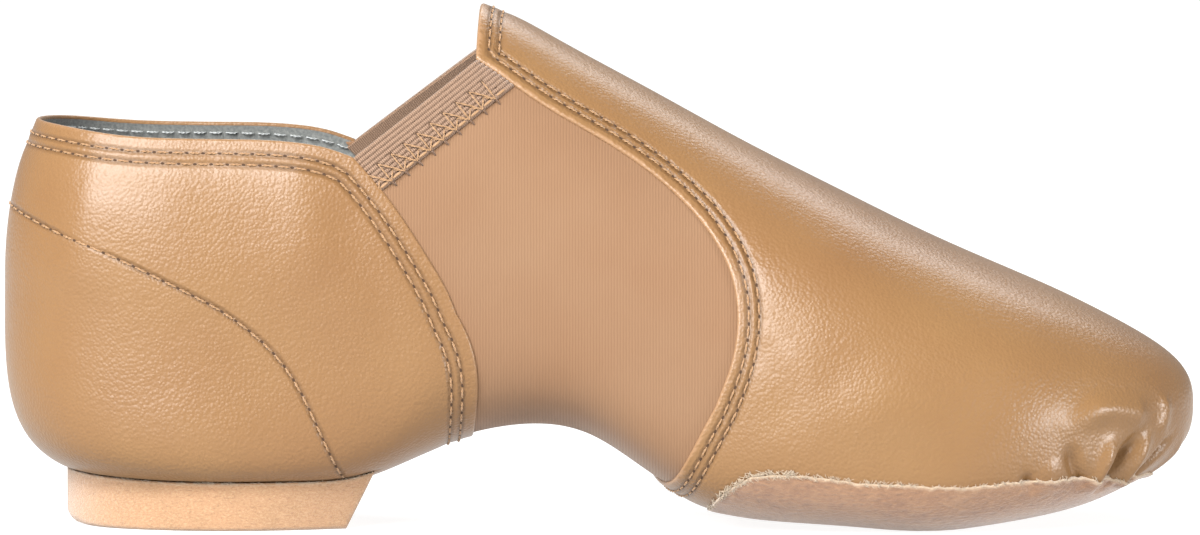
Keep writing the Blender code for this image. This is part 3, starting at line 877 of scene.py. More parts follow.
def finished(name, mesh, material):
    """An object for the mesh, smooth, with its material, riding on the shoe."""
    mesh.shade_smooth()
    mesh.materials.append(material)
    made = bpy.data.objects.new(name, mesh)
    bpy.context.scene.collection.objects.link(made)
    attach(made, "root")
    return made


def across_and_up(starts, ends, normals):
    """Unit vectors across each thread, and up from it."""
    run = ends - starts
    run = run / np.linalg.norm(run, axis=-1, keepdims=True)
    across = np.cross(run, normals)
    across /= np.linalg.norm(across, axis=-1, keepdims=True)
    return across, np.cross(across, run)


def tubes(starts, ends, normals, radius, lift, around=6, along=7, ply=None):
    """Threads laid from starts to ends. Each centre line is a low arch, lift * sin(pi t)
    over the straight line, and its round section narrows at both ends. A ply also winds
    round that line, from the angle given."""
    t = np.linspace(0, 1, along)
    arch = np.sin(math.pi * t)
    across, up = across_and_up(starts, ends, normals)
    centre = starts[:, None] + (ends - starts)[:, None] * t[None, :, None]
    centre = centre + normals[:, None] * (lift * arch)[None, :, None]
    size = radius * (0.55 + 0.45 * arch**0.5)
    if ply is not None:
        wind = ply + 2 * math.pi * PLY_TURNS * t
        sideways = np.cos(wind)[None, :, None] * across[:, None]
        upwards = np.sin(wind)[None, :, None] * up[:, None]
        centre = centre + 0.5 * size[None, :, None] * (sideways + upwards)
        size = 0.62 * size
    angle = np.linspace(0, 2 * math.pi, around + 1)
    ring = across[:, None, None] * np.cos(angle)[None, None, :, None]
    ring = ring + up[:, None, None] * (THREAD_FLATNESS * np.sin(angle))[None, None, :, None]
    return centre[:, :, None] + ring * size[None, :, None, None]


def plied(cloth, starts, ends, normals, radius, lift):
    """Lays two plies wound round each other along every stitch."""
    for ply in (0.0, math.pi):
        for points in tubes(starts, ends, normals, radius, lift, around=5, along=10, ply=ply):
            cloth.grid(points)


def ovals(centres, normals, ways, length, width, around=8):
    """Small flat ovals facing along their normals, their long way along ways."""
    across, _ = across_and_up(centres, centres + ways, normals)
    along = np.cross(normals, across)
    angle = np.linspace(0, 2 * math.pi, around + 1)
    ring = along[:, None] * (length * np.cos(angle))[None, :, None]
    ring = ring + across[:, None] * (width * np.sin(angle))[None, :, None]
    rim = centres[:, None] + ring
    return np.stack([np.broadcast_to(centres[:, None], rim.shape), rim], axis=1)


# Materials


def linear(code):
    """A colour from its sRGB hex code."""
    parts = [int(code[i : i + 2], 16) / 255 for i in (1, 3, 5)]
    return (*(p / 12.92 if p <= 0.04045 else ((p + 0.055) / 1.055) ** 2.4 for p in parts), 1.0)


def node(tree, kind, inputs=None, **settings):
    """Adds a node. inputs holds values, or the sockets that feed the named inputs."""
    made = tree.nodes.new(kind)
    for name, value in settings.items():
        setattr(made, name, value)
    for name, value in (inputs or {}).items():
        if isinstance(value, bpy.types.NodeSocket):
            tree.links.new(value, made.inputs[name])
        else:
            made.inputs[name].default_value = value
    return made


def blank(name):
    """A material with only its output, its tree and its object coordinates."""
    material = bpy.data.materials.new(name)
    material.use_nodes = True
    tree = material.node_tree
    tree.nodes.clear()
    place = node(tree, "ShaderNodeTexCoord").outputs["Object"]
    return material, tree, place


def finish_material(material, tree, **inputs):
    """Adds the shader, with an input's spaces written as low lines, and the output."""
    values = {name.replace("_", " "): value for name, value in inputs.items()}
    shader = node(tree, "ShaderNodeBsdfPrincipled", values)
    node(tree, "ShaderNodeOutputMaterial", {"Surface": shader.outputs["BSDF"]})
    return material


def ramp(tree, source, stops):
    """A colour ramp through (place, colour) stops."""
    made = node(tree, "ShaderNodeValToRGB", {"Fac": source})
    elements = made.color_ramp.elements
    while len(elements) < len(stops):
        elements.new(0.5)
    for element, (place, colour) in zip(elements, stops):
        element.position = place
        element.color = colour if len(colour) == 4 else (*colour, 1.0)
    return made.outputs["Color"]


def noise(tree, place, size, detail, **more):
    """Soft noise whose patches are about this many metres wide."""
    values = {"Vector": place, "Scale": 1 / size, "Detail": detail, **more}
    return node(tree, "ShaderNodeTexNoise", values).outputs["Fac"]


def bands(tree, place, period, **more):
    """Even bands across the first axis, this far apart."""
    return node(
        tree,
        "ShaderNodeTexWave",
        {"Vector": place, "Scale": BAND / period, **more},
        wave_type="BANDS",
        bands_direction="X",
    ).outputs["Fac"]


def bump(tree, height, depth, strength, under=None, invert=False):
    """Relief this many millimetres deep, laid over the relief under it."""
    values = {"Height": height, "Distance": depth * MM, "Strength": strength}
    if under is not None:
        values["Normal"] = under
    return node(tree, "ShaderNodeBump", values, invert=invert).outputs["Normal"]


def mixed(tree, share, first, second, blend="MIX"):
    """Two colours mixed by a share of the second."""
    colours = {"Factor": share, 6: first, 7: second}
    return node(tree, "ShaderNodeMix", colours, data_type="RGBA", blend_type=blend).outputs[2]


def ranged(tree, value, start, end, low=0.0, high=1.0, kind="LINEAR"):
    """A value's place between start and end, given as low to high."""
    limits = {"Value": value, "From Min": start, "From Max": end, "To Min": low, "To Max": high}
    return node(tree, "ShaderNodeMapRange", limits, interpolation_type=kind).outputs["Result"]


def attribute(tree, name):
    return node(tree, "ShaderNodeAttribute", attribute_name=name).outputs["Fac"]


def grained_leather():
    """Corrected-grain cowhide, embossed with a fine pebble and finished with a thin
    glossy coat: soft wide highlights that break up over the pebbles, painted shade
    along the grooves of the seams, and a painted highlight where the edge is turned.
    The pebbles are drawn coarser than real ones."""
    material, tree, place = blank("corrected_grain_cowhide")
    pebble = node(
        tree,
        "ShaderNodeTexVoronoi",
        {"Vector": place, "Scale": 1 / PEBBLE, "Smoothness": 0.35, "Randomness": 1.0},
        feature="SMOOTH_F1",
    ).outputs["Distance"]
    wrinkle = noise(tree, place, WRINKLE, 1.5, Roughness=0.6, Distortion=0.7)
    stretch = noise(tree, place, 9 * MM, 3.0)
    hide = noise(tree, place, 42 * MM, 4.0)
    groove = ranged(tree, attribute(tree, "seam_mm"), 0.0, GROOVE_REACH, kind="SMOOTHSTEP")
    tone = ramp(tree, hide, [(0.3, linear("#6F5032")), (0.7, linear("#765837"))])
    # Painted shade: the leather is darker towards each seam's groove.
    seam_shaded = mixed(tree, groove, linear("#5A4026"), tone)
    # Painted highlight: paler on the turned edge, as strong as its turned value.
    rim_highlighted = mixed(tree, attribute(tree, "turned"), seam_shaded, linear("#86674A"))
    relief = bump(tree, stretch, 0.35, 0.5)
    relief = bump(tree, groove, 0.35, 1.0, relief)
    relief = bump(tree, wrinkle, 0.05, 0.4, relief)
    relief = bump(tree, pebble, 0.13, 0.8, relief, invert=True)
    return finish_material(
        material,
        tree,
        Base_Color=rim_highlighted,
        Roughness=ranged(tree, hide, 0.3, 0.7, 0.34, 0.42),
        IOR=1.5,
        Specular_IOR_Level=0.30,
        Coat_Weight=0.14,
        Coat_Roughness=0.22,
        Normal=relief,
    )


def cloth_material(material, tree, colour, roughness, sheen, sheen_roughness, relief):
    """A matt cloth whose short fibres catch some light at its edges."""
    return finish_material(
        material,
        tree,
        Base_Color=colour,
        Roughness=roughness,
        Sheen_Weight=sheen,
        Sheen_Roughness=sheen_roughness,
        Normal=relief,
    )


def ribbed_knit():
    """Polyamide and elastane warp knit: fine upright ribs, matt, a little pinker than
    the leather. The ribs are drawn coarser than real ones, which would blur together."""
    material, tree, place = blank("polyamide_elastane_warp_knit")
    ribs = bands(tree, place, KNIT_RIB, Distortion=0.8, Detail=1.0)
    loops = noise(tree, place, 0.5 * MM, 2.0)
    cloud = noise(tree, place, 30 * MM, 3.0)
    tone = ramp(tree, cloud, [(0.3, linear("#705136")), (0.7, linear("#74573D"))])
    # Painted shade: the knit is darker in the valleys between its ribs.
    between = ramp(tree, ribs, [(0.05, linear("#A58163")), (0.55, linear("#FFFFFF"))])
    shaded = mixed(tree, 0.25, tone, between, "MULTIPLY")
    relief = bump(tree, ribs, 0.08, 0.5, bump(tree, loops, 0.05, 0.5))
    return cloth_material(material, tree, shaded, 0.85, 0.15, 0.45, relief)


def split_suede(name, dark, light, fleck, nap, streak):
    """Split cowhide buffed to a nap: no gloss, a soft bloom at the edge, cloudy patches
    where the nap lies another way, and a cream fuzz along its cut rim. nap is the width
    of its tufts, streak how many times longer than high they are."""
    material, tree, place = blank(name)
    longer = (1 / streak, 1 / streak, 1.0)
    drawn = node(tree, "ShaderNodeMapping", {"Vector": place, "Scale": longer}).outputs[0]
    cloud = noise(tree, place, 7 * MM, 5.0, Roughness=0.65)
    tuft = noise(tree, drawn, nap, 4.0, Roughness=0.7)
    tone = ramp(tree, cloud, [(0.32, linear(dark)), (0.68, linear(light))])
    grains = ramp(tree, tuft, [(0.50, (0, 0, 0)), (0.66, (0.75, 0.75, 0.75))])
    # Painted shade: darker in the pits between the tufts, where the tuft relief is low.
    pit_shade = ramp(tree, tuft, [(0.32, (0.70, 0.64, 0.58)), (0.44, (1, 1, 1))])
    pit_shaded = mixed(tree, 1.0, mixed(tree, grains, tone, linear(fleck)), pit_shade, "MULTIPLY")
    frayed = node(tree, "ShaderNodeMath", {0: tuft, 1: FRAYED_RIM}, operation="MULTIPLY").outputs[0]
    inside = ranged(tree, attribute(tree, "rim_mm"), 0.05, frayed)
    rimmed = mixed(tree, inside, linear("#9C876F"), pit_shaded)
    return cloth_material(material, tree, rimmed, 0.95, 0.4, 0.6, bump(tree, tuft, 0.40, 0.9))


def brushed_lining():
    """Brushed polyester tricot lining: a grey-blue matt cloth with a short nap."""
    material, tree, place = blank("brushed_polyester_tricot")
    nap = noise(tree, place, 0.6 * MM, 4.0)
    tone = ramp(tree, nap, [(0.35, linear("#5C5F5D")), (0.65, linear("#757673"))])
    return cloth_material(material, tree, tone, 0.95, 0.3, 0.5, bump(tree, nap, 0.12, 0.7))


def corded_elastic():
    """Covered rubber cords laid side by side, each wound with fine yarn that crosses it."""
    material, tree, place = blank("yarn_covered_rubber_cord")
    strip = node(tree, "ShaderNodeUVMap", uv_map="surface").outputs["UV"]
    winding = bands(tree, strip, WINDING_MM, Distortion=0.3)
    fuzz = noise(tree, place, 0.4 * MM, 3.0)
    tone = ramp(tree, winding, [(0.0, linear("#694F3C")), (1.0, linear("#836A56"))])
    relief = bump(tree, winding, 0.12, 0.8, bump(tree, fuzz, 0.08, 0.5))
    return cloth_material(material, tree, tone, 0.8, 0.3, 0.4, relief)


def spun_thread(name, code):
    """Polyester sewing thread or a suede fibre: dull, with a faint twist."""
    material, tree, place = blank(name)
    relief = bump(tree, noise(tree, place, 0.3 * MM, 2.0), 0.06, 0.6)
    return finish_material(
        material, tree, Base_Color=linear(code), Roughness=0.6, Sheen_Weight=0.2, Normal=relief
    )


def plain(name, code, roughness):
    """One even colour, without any pattern."""
    material, tree, _ = blank(name)
    return finish_material(material, tree, Base_Color=linear(code), Roughness=roughness)


# Pieces of the shoe


def relieved(side, domain, relief):
    """The outer face of the leather with its relief, and the relief itself."""
    points, normals = frame_at(side, domain)
    height = relief(side, points)
    return points + height[..., None] * normals, height


def edge_roll(side, line, away, relief):
    """The turned edge of the leather, at the height that its relief has there: along the
    line, a half circle that leaves the surface towards away (1 right of the run, -1
    left) and turns back under it."""
    points, normals = frame_at(side, line)
    face = points + relief(side, points)[:, None] * normals
    out = np.cross(np.gradient(points, axis=0), normals) * -side * away
    out /= np.linalg.norm(out, axis=-1, keepdims=True)
    angle = np.linspace(0, math.pi, ROLL_STEPS)[:, None, None]
    return face + LEATHER_ROLL * (out * np.sin(angle) - normals * (1 - np.cos(angle)))


def quarter_domain(rows, columns):
    """The leather round the heel as turns and girths, from underneath to the collar."""
    right, top = quarter_edge(rows), collar_line(columns)
    bottom = line_of(np.linspace(0, right[0, 0], columns), -1.0)
    left = line_of(0.0, np.linspace(-1, top[0, 1], rows))
    return patch(left, right, bottom, top)


def make_quarter(material):
    """The leather round the heel. One turned edge runs along the collar, round its
    corner and down the front."""
    cloth = Cloth()
    domain = quarter_domain(*QUARTER_GRID)
    border = np.concatenate([domain[-1], domain[::-1][1:, -1]])
    for side in (OUTER, INNER):
        points, _ = relieved(side, domain, quarter_relief)
        cloth.grid(points, seam_mm=seam_mm(side, points, quarter_rows(side)))
        # turned sets the strength of the painted highlight on the quarter's rolled edge.
        cloth.grid(edge_roll(side, border, -1, quarter_relief), seam_mm=AWAY_FROM_SEAMS, turned=0.35)
    return cloth.to_object("quarter_leather", material)


def vamp_top(columns, tab_columns):
    """Top edge of the vamp: the back edge of the tab, then the ridge to the toe."""
    ridge_turns = np.linspace(turn(TAB_TOP), 1, columns - tab_columns + 1)[1:]
    return np.concatenate([tab_edge(tab_columns), line_of(ridge_turns, 1.0)])


def make_vamp(material):
    """The leather from the tab to the toe, gathered in under the toe. One turned edge
    runs down the tab, round its corner and along the gore."""
    cloth = Cloth()
    rear_rows, side_rows, strip_columns, forepart_columns, tab_columns = VAMP_GRID
    edge = vamp_edge(rear_rows + side_rows - 1)
    rear = edge_curve(SOLE_REAR, rear_rows)
    side_line = edge_curve(SOLE_SIDE, forepart_columns - strip_columns + 1)
    across = np.linspace(0, 1, strip_columns)
    join = lerp(edge[rear_rows - 1], rear[-1], across)
    strip = patch(edge[:rear_rows], rear, lerp(edge[0], rear[0], across), join)
    top = vamp_top(forepart_columns, tab_columns)
    bottom = np.concatenate([join, side_line[1:]])
    tip = line_of(1.0, np.linspace(bottom[-1, 1], 1, side_rows))
    forepart = patch(edge[rear_rows - 1 :], tip, bottom, top, VAMP_FADE)
    tab_border = forepart[-1, :tab_columns][::-1]
    border = np.concatenate([tab_border, forepart[::-1][1:, 0], strip[::-1][1:, 0]])
    for side in (OUTER, INNER):
        rows = vamp_rows(side)
        for domain in (strip, forepart):
            points, _ = relieved(side, domain, vamp_relief)
            cloth.grid(points, seam_mm=seam_mm(side, points, rows))
        # turned sets the strength of the painted highlight on the vamp's rolled edge.
        cloth.grid(edge_roll(side, border, 1, vamp_relief), seam_mm=AWAY_FROM_SEAMS, turned=0.9)
    return cloth.to_object("vamp_leather", material)


def make_gore(material):
    """The stretch gore of both sides, which runs on under the arch."""
    cloth = Cloth()
    rows, columns = GORE_GRID
    left = shifted_edge(quarter_edge(rows), -UNDERLAP)
    right = shifted_edge(vamp_edge(rows), UNDERLAP)
    top = gore_top_line(columns)
    top[0], top[-1] = left[-1], right[-1]
    bottom = line_of(np.linspace(left[0, 0], right[0, 0], columns), -1.0)
    domain = patch(left, right, bottom, top)
    for side in (OUTER, INNER):
        face, back = laid(side, domain, GORE_STEP), laid(side, domain, WALL)
        cloth.grid(face)
        cloth.grid(back)
        cloth.grid(np.stack([face[-1], back[-1]]))
    return cloth.to_object("stretch_gore", material)


def shifted_edge(line, distance):
    """An edge moved along the shoe, so that a layer reaches under its neighbour."""
    moved = line.copy()
    moved[:, 0] = turn(station_of(line[:, 0]) + distance / LENGTH)
    return moved


def lined(side, domain, relief, reach):
    """The lining's points. Along the first columns of the domain's top row it meets the
    turned edge of the leather, and it lies deeper below that."""
    edge = 2 * LEATHER_ROLL - relief(side, flat(side, domain[-1]))
    up = np.linspace(0, 1, len(domain))[:, None]
    along = np.arange(domain.shape[1])
    share = smooth(up, *LINING_RISE) * (1 - smooth(along, reach, LINING_CORNER))
    in_toe = smooth(station_of(domain[..., 0]), *TOE_LINING)
    depth = LINING_DEPTH + (TOE_LINING_DEPTH - LINING_DEPTH) * in_toe
    return laid(side, domain, depth + (edge - depth) * share)


def make_lining(material):
    """The cloth that lines the quarter and the vamp."""
    cloth = Cloth()
    rows, columns, tab_columns = LINING_GRID
    quarter = quarter_domain(rows, columns)
    edge = vamp_edge(rows)
    under = line_of(np.linspace(edge[0, 0], 1, columns), -1.0)
    tip = line_of(1.0, np.linspace(-1, 1, rows))
    vamp = patch(edge, tip, under, vamp_top(columns, tab_columns), VAMP_FADE)
    for side in (OUTER, INNER):
        cloth.grid(lined(side, quarter, quarter_relief, columns))
        cloth.grid(lined(side, vamp, vamp_relief, tab_columns))
    made = cloth.to_object("lining_cloth", material)
    made.data.flip_normals()
    return made


def make_insole(material):
    """The sock insole, a padded sheet over the whole foot bed."""
    cloth = Cloth()
    rows, columns = INSOLE_GRID
    turns = np.linspace(0.02, 0.985, columns)
    girth = np.linspace(-1, -0.60, rows)
    domain = np.stack(np.meshgrid(turns, girth), -1)
    for side in (OUTER, INNER):
        top, low = laid(side, domain, INSOLE_DEPTH), laid(side, domain, INSOLE_BACK)
        cloth.grid(top)
        cloth.grid(low)
        for border in (np.s_[-1], np.s_[:, 0], np.s_[:, -1]):
            cloth.grid(np.stack([top[border], low[border]]))
    return cloth.to_object("sock_insole", material)


def worn(line, size, seed):
    """A cut edge made uneven: each point moves a little across the last, as noise that
    runs smoothly over a few points."""
    draws = np.random.default_rng(seed).normal(size=len(line) + 8)
    rough = np.convolve(draws, np.hanning(5) / np.hanning(5).sum(), "valid")[: len(line)]
    rough *= np.sin(math.pi * np.linspace(0, 1, len(line))) ** 0.3
    return shifted_by(line, size * rough)


def shifted_by(line, distances):
    """A line whose points move across the last by their own distances."""
    ways = shifted(INNER, line, MM) - line
    return line + ways * (distances / MM)[:, None]


def sole_lines():
    """Rim of the suede: its rear edge from the middle outwards, and its side edge."""
    rear_rows, columns = SOLE_GRID
    rear = shifted_lap(edge_curve(SOLE_REAR, rear_rows))
    side_line = worn(shifted_lap(edge_curve(SOLE_SIDE, columns)), RIM_WEAR, RIM_SEED)
    rear[0, 1] = -1
    rear[-1] = side_line[0] = (rear[-1] + side_line[0]) / 2
    side_line[-1, 0] = 1
    return rear, side_line


def suede_height(side, points, gap):
    """Height of the suede's face: it lies proud of the leather, and near its rim follows
    the folds of the leather, as exp(-(gap / follow)^2)."""
    leather = np.maximum(vamp_relief(side, points), -DEEPEST_FOLD)
    return SUEDE_PROUD + leather * np.exp(-((gap / RIM_FOLLOW) ** 2))


def make_forefoot_sole(material):
    """The suede patch: pressed flat on the floor, and proud of the leather at its rim."""
    cloth = Cloth()
    rear_rows, columns = SOLE_GRID
    rear, side_line = sole_lines()
    bottom = line_of(np.linspace(rear[0, 0], 1, columns), -1.0)
    tip = line_of(1.0, np.linspace(-1, side_line[-1, 1], rear_rows))
    domain = patch(rear, tip, bottom, side_line)
    for side in (OUTER, INNER):
        points, normals = frame_at(side, domain)
        rim_line = np.concatenate([flat(side, rear), flat(side, side_line)[1:]])
        gap, _ = along_line(points, rim_line[::2])
        face = points + suede_height(side, points, gap)[..., None] * normals
        face[..., 2] = np.maximum(face[..., 2], 0.0)
        cloth.grid(face, rim_mm=gap / MM)
        for border in (np.s_[-1], np.s_[:, 0]):
            rim, way = face[border], normals[border]
            cloth.grid(np.stack([rim, rim - (SUEDE_PROUD + SUEDE_SKIRT) * way]))
    return cloth.to_object("forefoot_suede", material)


def make_fray(name, material, line, tufts, relief):
    """Loose fibres that stand out of a cut edge. Each tuft gives the part of the line it
    fills, how many fibres it has and how long they are, and each fibre lies a little
    way off across the leather."""
    cloth = Cloth()
    draw = np.random.default_rng(FRAY_SEED)
    for side in (OUTER, INNER):
        travelled = run_along(flat(side, line))
        for start, end, count, length in tufts:
            at = draw.uniform(start, end, count) * travelled[-1]
            lengths = length * MM * draw.uniform(0.35, 1.0, count)
            slant = draw.normal(scale=0.8, size=count) * lengths
            roots = at_lengths(line, travelled, at - np.sign(slant) * 0.1 * MM)
            tips = at_lengths(line, travelled, np.clip(at + slant, 0, travelled[-1]))
            tips = shifted_by(tips, -lengths)
            points, normals = frame_at(side, roots)
            ends, end_normals = frame_at(side, tips)
            height = relief(side, points) + draw.uniform(0.1, 0.5, count) * MM
            end_height = relief(side, ends) + draw.uniform(0.05, 0.5, count) * MM
            points = points + height[:, None] * normals
            ends = ends + end_height[:, None] * end_normals
            for fibre in tubes(points, ends, normals, FIBRE, FIBRE_ARCH, around=3, along=4):
                cloth.grid(fibre)
    return cloth.to_object(name, material)


def shifted_lap(line):
    """The suede's edge, lapped a little over the leather."""
    return shifted(INNER, line, -SUEDE_LAP)


def sole_rim():
    """The rim of the suede from the middle of its rear edge to the toe."""
    rear, side_line = sole_lines()
    return np.concatenate([rear, side_line[1:]])


def heel_round(turns):
    """How far the bottom edge of the heel block is rounded: more at its back."""
    back = smooth(1 - turns / turn(HEEL_BACK))
    return HEEL_EDGE_ROUND + (HEEL_BACK_ROUND - HEEL_EDGE_ROUND) * back


def make_heel(material):
    """The suede heel block. Its layers narrow towards the floor at the rounded edge,
    and the breast slants back."""
    cloth = Cloth()
    rows, columns = HEEL_GRID
    turns, edge = heel_line(columns).T
    rounding = heel_round(turns)
    up = np.linspace(0, 1, rows)[:, None]
    domain = line_of(turns, -1 + up * (edge + 1))
    for side in (OUTER, INNER):
        top = laid(side, domain, -HEEL_PROUD)
        middle = top[0, :, :2]
        reach = np.linalg.norm(top[-1, :, :2] - middle, axis=-1)
        back_x, front_x = top[-1, 0, 0], top[0, -1, 0]
        layers = []
        for share in np.linspace(0, 1, HEEL_LAYERS):
            height = top[-1, :, 2] * (1 - share)
            inside = np.clip(1 - height / rounding, 0, 1)
            drawn = 1 - (1 - np.sqrt(1 - inside**2)) * rounding / reach
            layer = top.copy()
            layer[..., :2] = middle + (top[..., :2] - middle) * drawn[None, :, None]
            along = np.clip((top[..., 0] - back_x) / (front_x - back_x), 0, 1)
            layer[..., 0] -= HEEL_BREAST_SLANT * share * along
            layer[..., 2] = np.where(share == 0, top[..., 2], np.minimum(height, top[..., 2]))
            layers.append(layer)
        cloth.grid(layers[0], rim_mm=AWAY_FROM_RIM)
        cloth.grid(layers[-1], rim_mm=AWAY_FROM_RIM)
        wall = np.stack([layer[-1] for layer in layers])
        cloth.grid(wall, rim_mm=np.abs(wall[..., 2] - wall[:1, :, 2]) / MM)
        cloth.grid(np.stack([layer[:, -1] for layer in layers]), rim_mm=AWAY_FROM_RIM)
    return cloth.to_object("heel_suede", material)


def elastic_axes():
    """The gore's top edge as the side view shows it: its start, its direction and the
    way down across the elastic."""
    ends = flat(INNER, gore_top_line(2))[:, [0, 2]]
    direction = (ends[1] - ends[0]) / np.linalg.norm(ends[1] - ends[0])
    return ends[0], direction, np.array([direction[1], -direction[0]])


def strip_domain(along, down):
    """The turns and girths of places along the elastic and down from its top edge."""
    start, direction, below = elastic_axes()
    seen = start + along[..., None] * direction + down[..., None] * below
    turns = turn(seen[..., 0] / LENGTH + 0.5)
    return line_of(turns, girth_at(turns, seen[..., 1]))


def elastic_domain(rows, columns):
    """The elastic's strip under the gore's top edge: rows go down its width, columns
    along it, both ends a little under the leather."""
    start, direction, below = elastic_axes()
    limits = []
    for edge, way in ((quarter_edge, -1), (vamp_edge, 1)):
        line = flat(INNER, edge(ELASTIC_EDGE_POINTS)[::-1])[:, [0, 2]] - start
        depth, along = line @ below, line @ direction
        reached = int(np.argmax(depth > 1.2 * ELASTIC_WIDTH)) + 1
        widths = np.linspace(0, ELASTIC_WIDTH, rows)
        limits.append(np.interp(widths, depth[:reached], along[:reached]) + way * UNDERLAP)
    share = np.linspace(0, 1, columns)
    along = limits[0][:, None] + (limits[1] - limits[0])[:, None] * share
    down = np.linspace(0, ELASTIC_WIDTH, rows)[:, None] + 0 * share
    return strip_domain(along, down), along, down


def elastic_height(along, down, limits):
    """Height of the elastic's face over the last: half round cords |sin|^0.6 across the
    strip, sunk towards both ends, where it passes under the leather."""
    cords = np.abs(np.sin(math.pi * ELASTIC_CORDS * down / ELASTIC_WIDTH)) ** 0.6
    to_end = np.minimum(along - limits[0], limits[1] - along)
    sunk = 1 - smooth(to_end, SINK_START, SINK_REACH)
    return CORD_RISE * cords - ELASTIC_DEPTH - ELASTIC_SINK * sunk


def make_elastic(name, side, material):
    """The corded elastic of one side."""
    domain, along, down = elastic_domain(ELASTIC_CORDS * CORD_ROWS + 1, ELASTIC_COLUMNS)
    height = elastic_height(along, down, (along[:, :1], along[:, -1:]))
    cloth = Cloth()
    plan = np.stack([along, down], -1) / MM
    face = laid(side, domain, -height)
    back = laid(side, domain, ELASTIC_BACK)
    cloth.grid(face, plan=plan)
    cloth.grid(back, plan=plan)
    for border in (np.s_[0], np.s_[-1], np.s_[:, 0], np.s_[:, -1]):
        cloth.grid(np.stack([face[border], back[border]]), plan=np.stack([plan[border], plan[border]]))
    return cloth.to_object(name, material)


def elastic_place(side, along, down):
    """Points and normals on the elastic's cords, at lengths along it and down it."""
    _, grid_along, grid_down = elastic_domain(*ELASTIC_ENDS_GRID)
    limits = [np.interp(down, grid_down[:, 0], grid_along[:, i]) for i in (0, -1)]
    height = elastic_height(along, down, limits)
    points, normals = frame_at(side, strip_domain(along, down))
    return points + height[:, None] * normals, normals


def make_overlock(side, thread, dark, holes):
    """The stitch that holds the elastic to the knit: from each upper needle hole one
    leg runs straight down to the edge and one slants to the next, a short leg crosses
    them from a lower hole, thick loops lie along the last cord, and dark ends pass over
    the edge into the knit. spot gives places at a share of the stitch further on."""
    _, along, _ = elastic_domain(3, 3)
    first, last = along[:, 0].max() + OVERLOCK_END, along[:, -1].min() - OVERLOCK_END
    places = np.arange(first, last, ZIGZAG)

    def spot(shift, down):
        return elastic_place(side, places + shift * ZIGZAG, np.full(len(places), down))

    tops, normals = spot(0.0, ELASTIC_WIDTH - ZIGZAG_RISE)
    lows, low_normals = spot(0.05, ELASTIC_WIDTH - ZIGZAG_LOW)
    middles, middle_normals = spot(0.5, ELASTIC_WIDTH - ZIGZAG_MIDDLE)
    loop_starts, _ = spot(0.24, ELASTIC_WIDTH - LOOP_ROW)
    loop_ends, _ = spot(0.82, ELASTIC_WIDTH - LOOP_ROW)
    up = OVERLOCK_LIFT * normals
    legs = (
        (tops + up, lows + up),
        (tops[:-1] + up[:-1], lows[1:] + up[1:]),
        (middles[:-1] + up[:-1], lows[1:] + up[1:]),
        (middles[:-1] + up[:-1], lows[:-1] + up[:-1]),
    )
    for starts, ends in legs:
        plied(thread, starts, ends, normals[: len(starts)], *LEG)
    for points in tubes(loop_starts, loop_ends, normals, *LOOP):
        thread.grid(points)
    below = np.full(len(places), ELASTIC_WIDTH + TAIL_DROP)
    under = laid(side, strip_domain(places + TAIL_SLANT, below), GORE_STEP + CLOTH_SINK)
    # The ends take the darker copy of the thread, as painted shade.
    for points in tubes(lows + 0.5 * up, under, low_normals, *TAIL):
        dark.grid(points)
    ways = np.gradient(tops, axis=0)
    for centres, facing in ((tops, normals), (middles, middle_normals)):
        for oval in ovals(centres + OVERLOCK_HOLE_LIFT * facing, facing, ways, *OVERLOCK_HOLE):
            holes.grid(oval)


def stitch_ends(points, gap):
    """Where the stitches of a row start and end, a share of their length off the holes."""
    return lerp(points[:-1], points[1:], gap), lerp(points[:-1], points[1:], 1 - gap)


def sew(side, line, relief, thread, holes):
    """Lock stitches along a row, sunk into the leather, with a needle hole at each end."""
    points, normals = frame_at(side, evened(side, line, STITCH))
    points = points + relief(side, points)[:, None] * normals
    starts, ends = stitch_ends(points, 0.09)
    facing = normals[:-1] + normals[1:]
    facing /= np.linalg.norm(facing, axis=-1, keepdims=True)
    sink = STITCH_SINK * facing
    plied(thread, starts - sink, ends - sink, facing, THREAD / 2, THREAD_LIFT)
    ways = np.gradient(points, axis=0)
    for oval in ovals(points + HOLE_LIFT * normals, normals, ways, *HOLE):
        holes.grid(oval)


def sew_lining(side, thread):
    """The row of stitches that the lining shows inside the collar."""
    line = shifted(side, collar_line(COLLAR_POINTS), LINING_ROW)
    points, normals = frame_at(side, evened(side, line, STITCH))
    points = points - (LINING_DEPTH + CLOTH_SINK) * normals
    starts, ends = stitch_ends(points, 0.12)
    plied(thread, starts, ends, -normals[:-1], THREAD / 2, THREAD_LIFT)


def make_sewing(thread, light, dark, pale, hole):
    """Every thread and needle hole of the shoe."""
    sewn, overlock, tails, inner_row, holes = (Cloth() for _ in range(5))
    for side in (OUTER, INNER):
        for line in quarter_rows(side):
            sew(side, line, quarter_relief, sewn, holes)
        for line in vamp_rows(side):
            sew(side, line, vamp_relief, sewn, holes)
        make_overlock(side, overlock, tails, holes)
        sew_lining(side, inner_row)
    return [
        sewn.to_object("seam_threads", thread),
        overlock.to_object("overlock_threads", light),
        tails.to_object("overlock_tails", dark),
        inner_row.to_object("lining_threads", pale),
        holes.to_object("needle_holes", hole, outwards=False),
    ]


# The shoe, the room and the camera


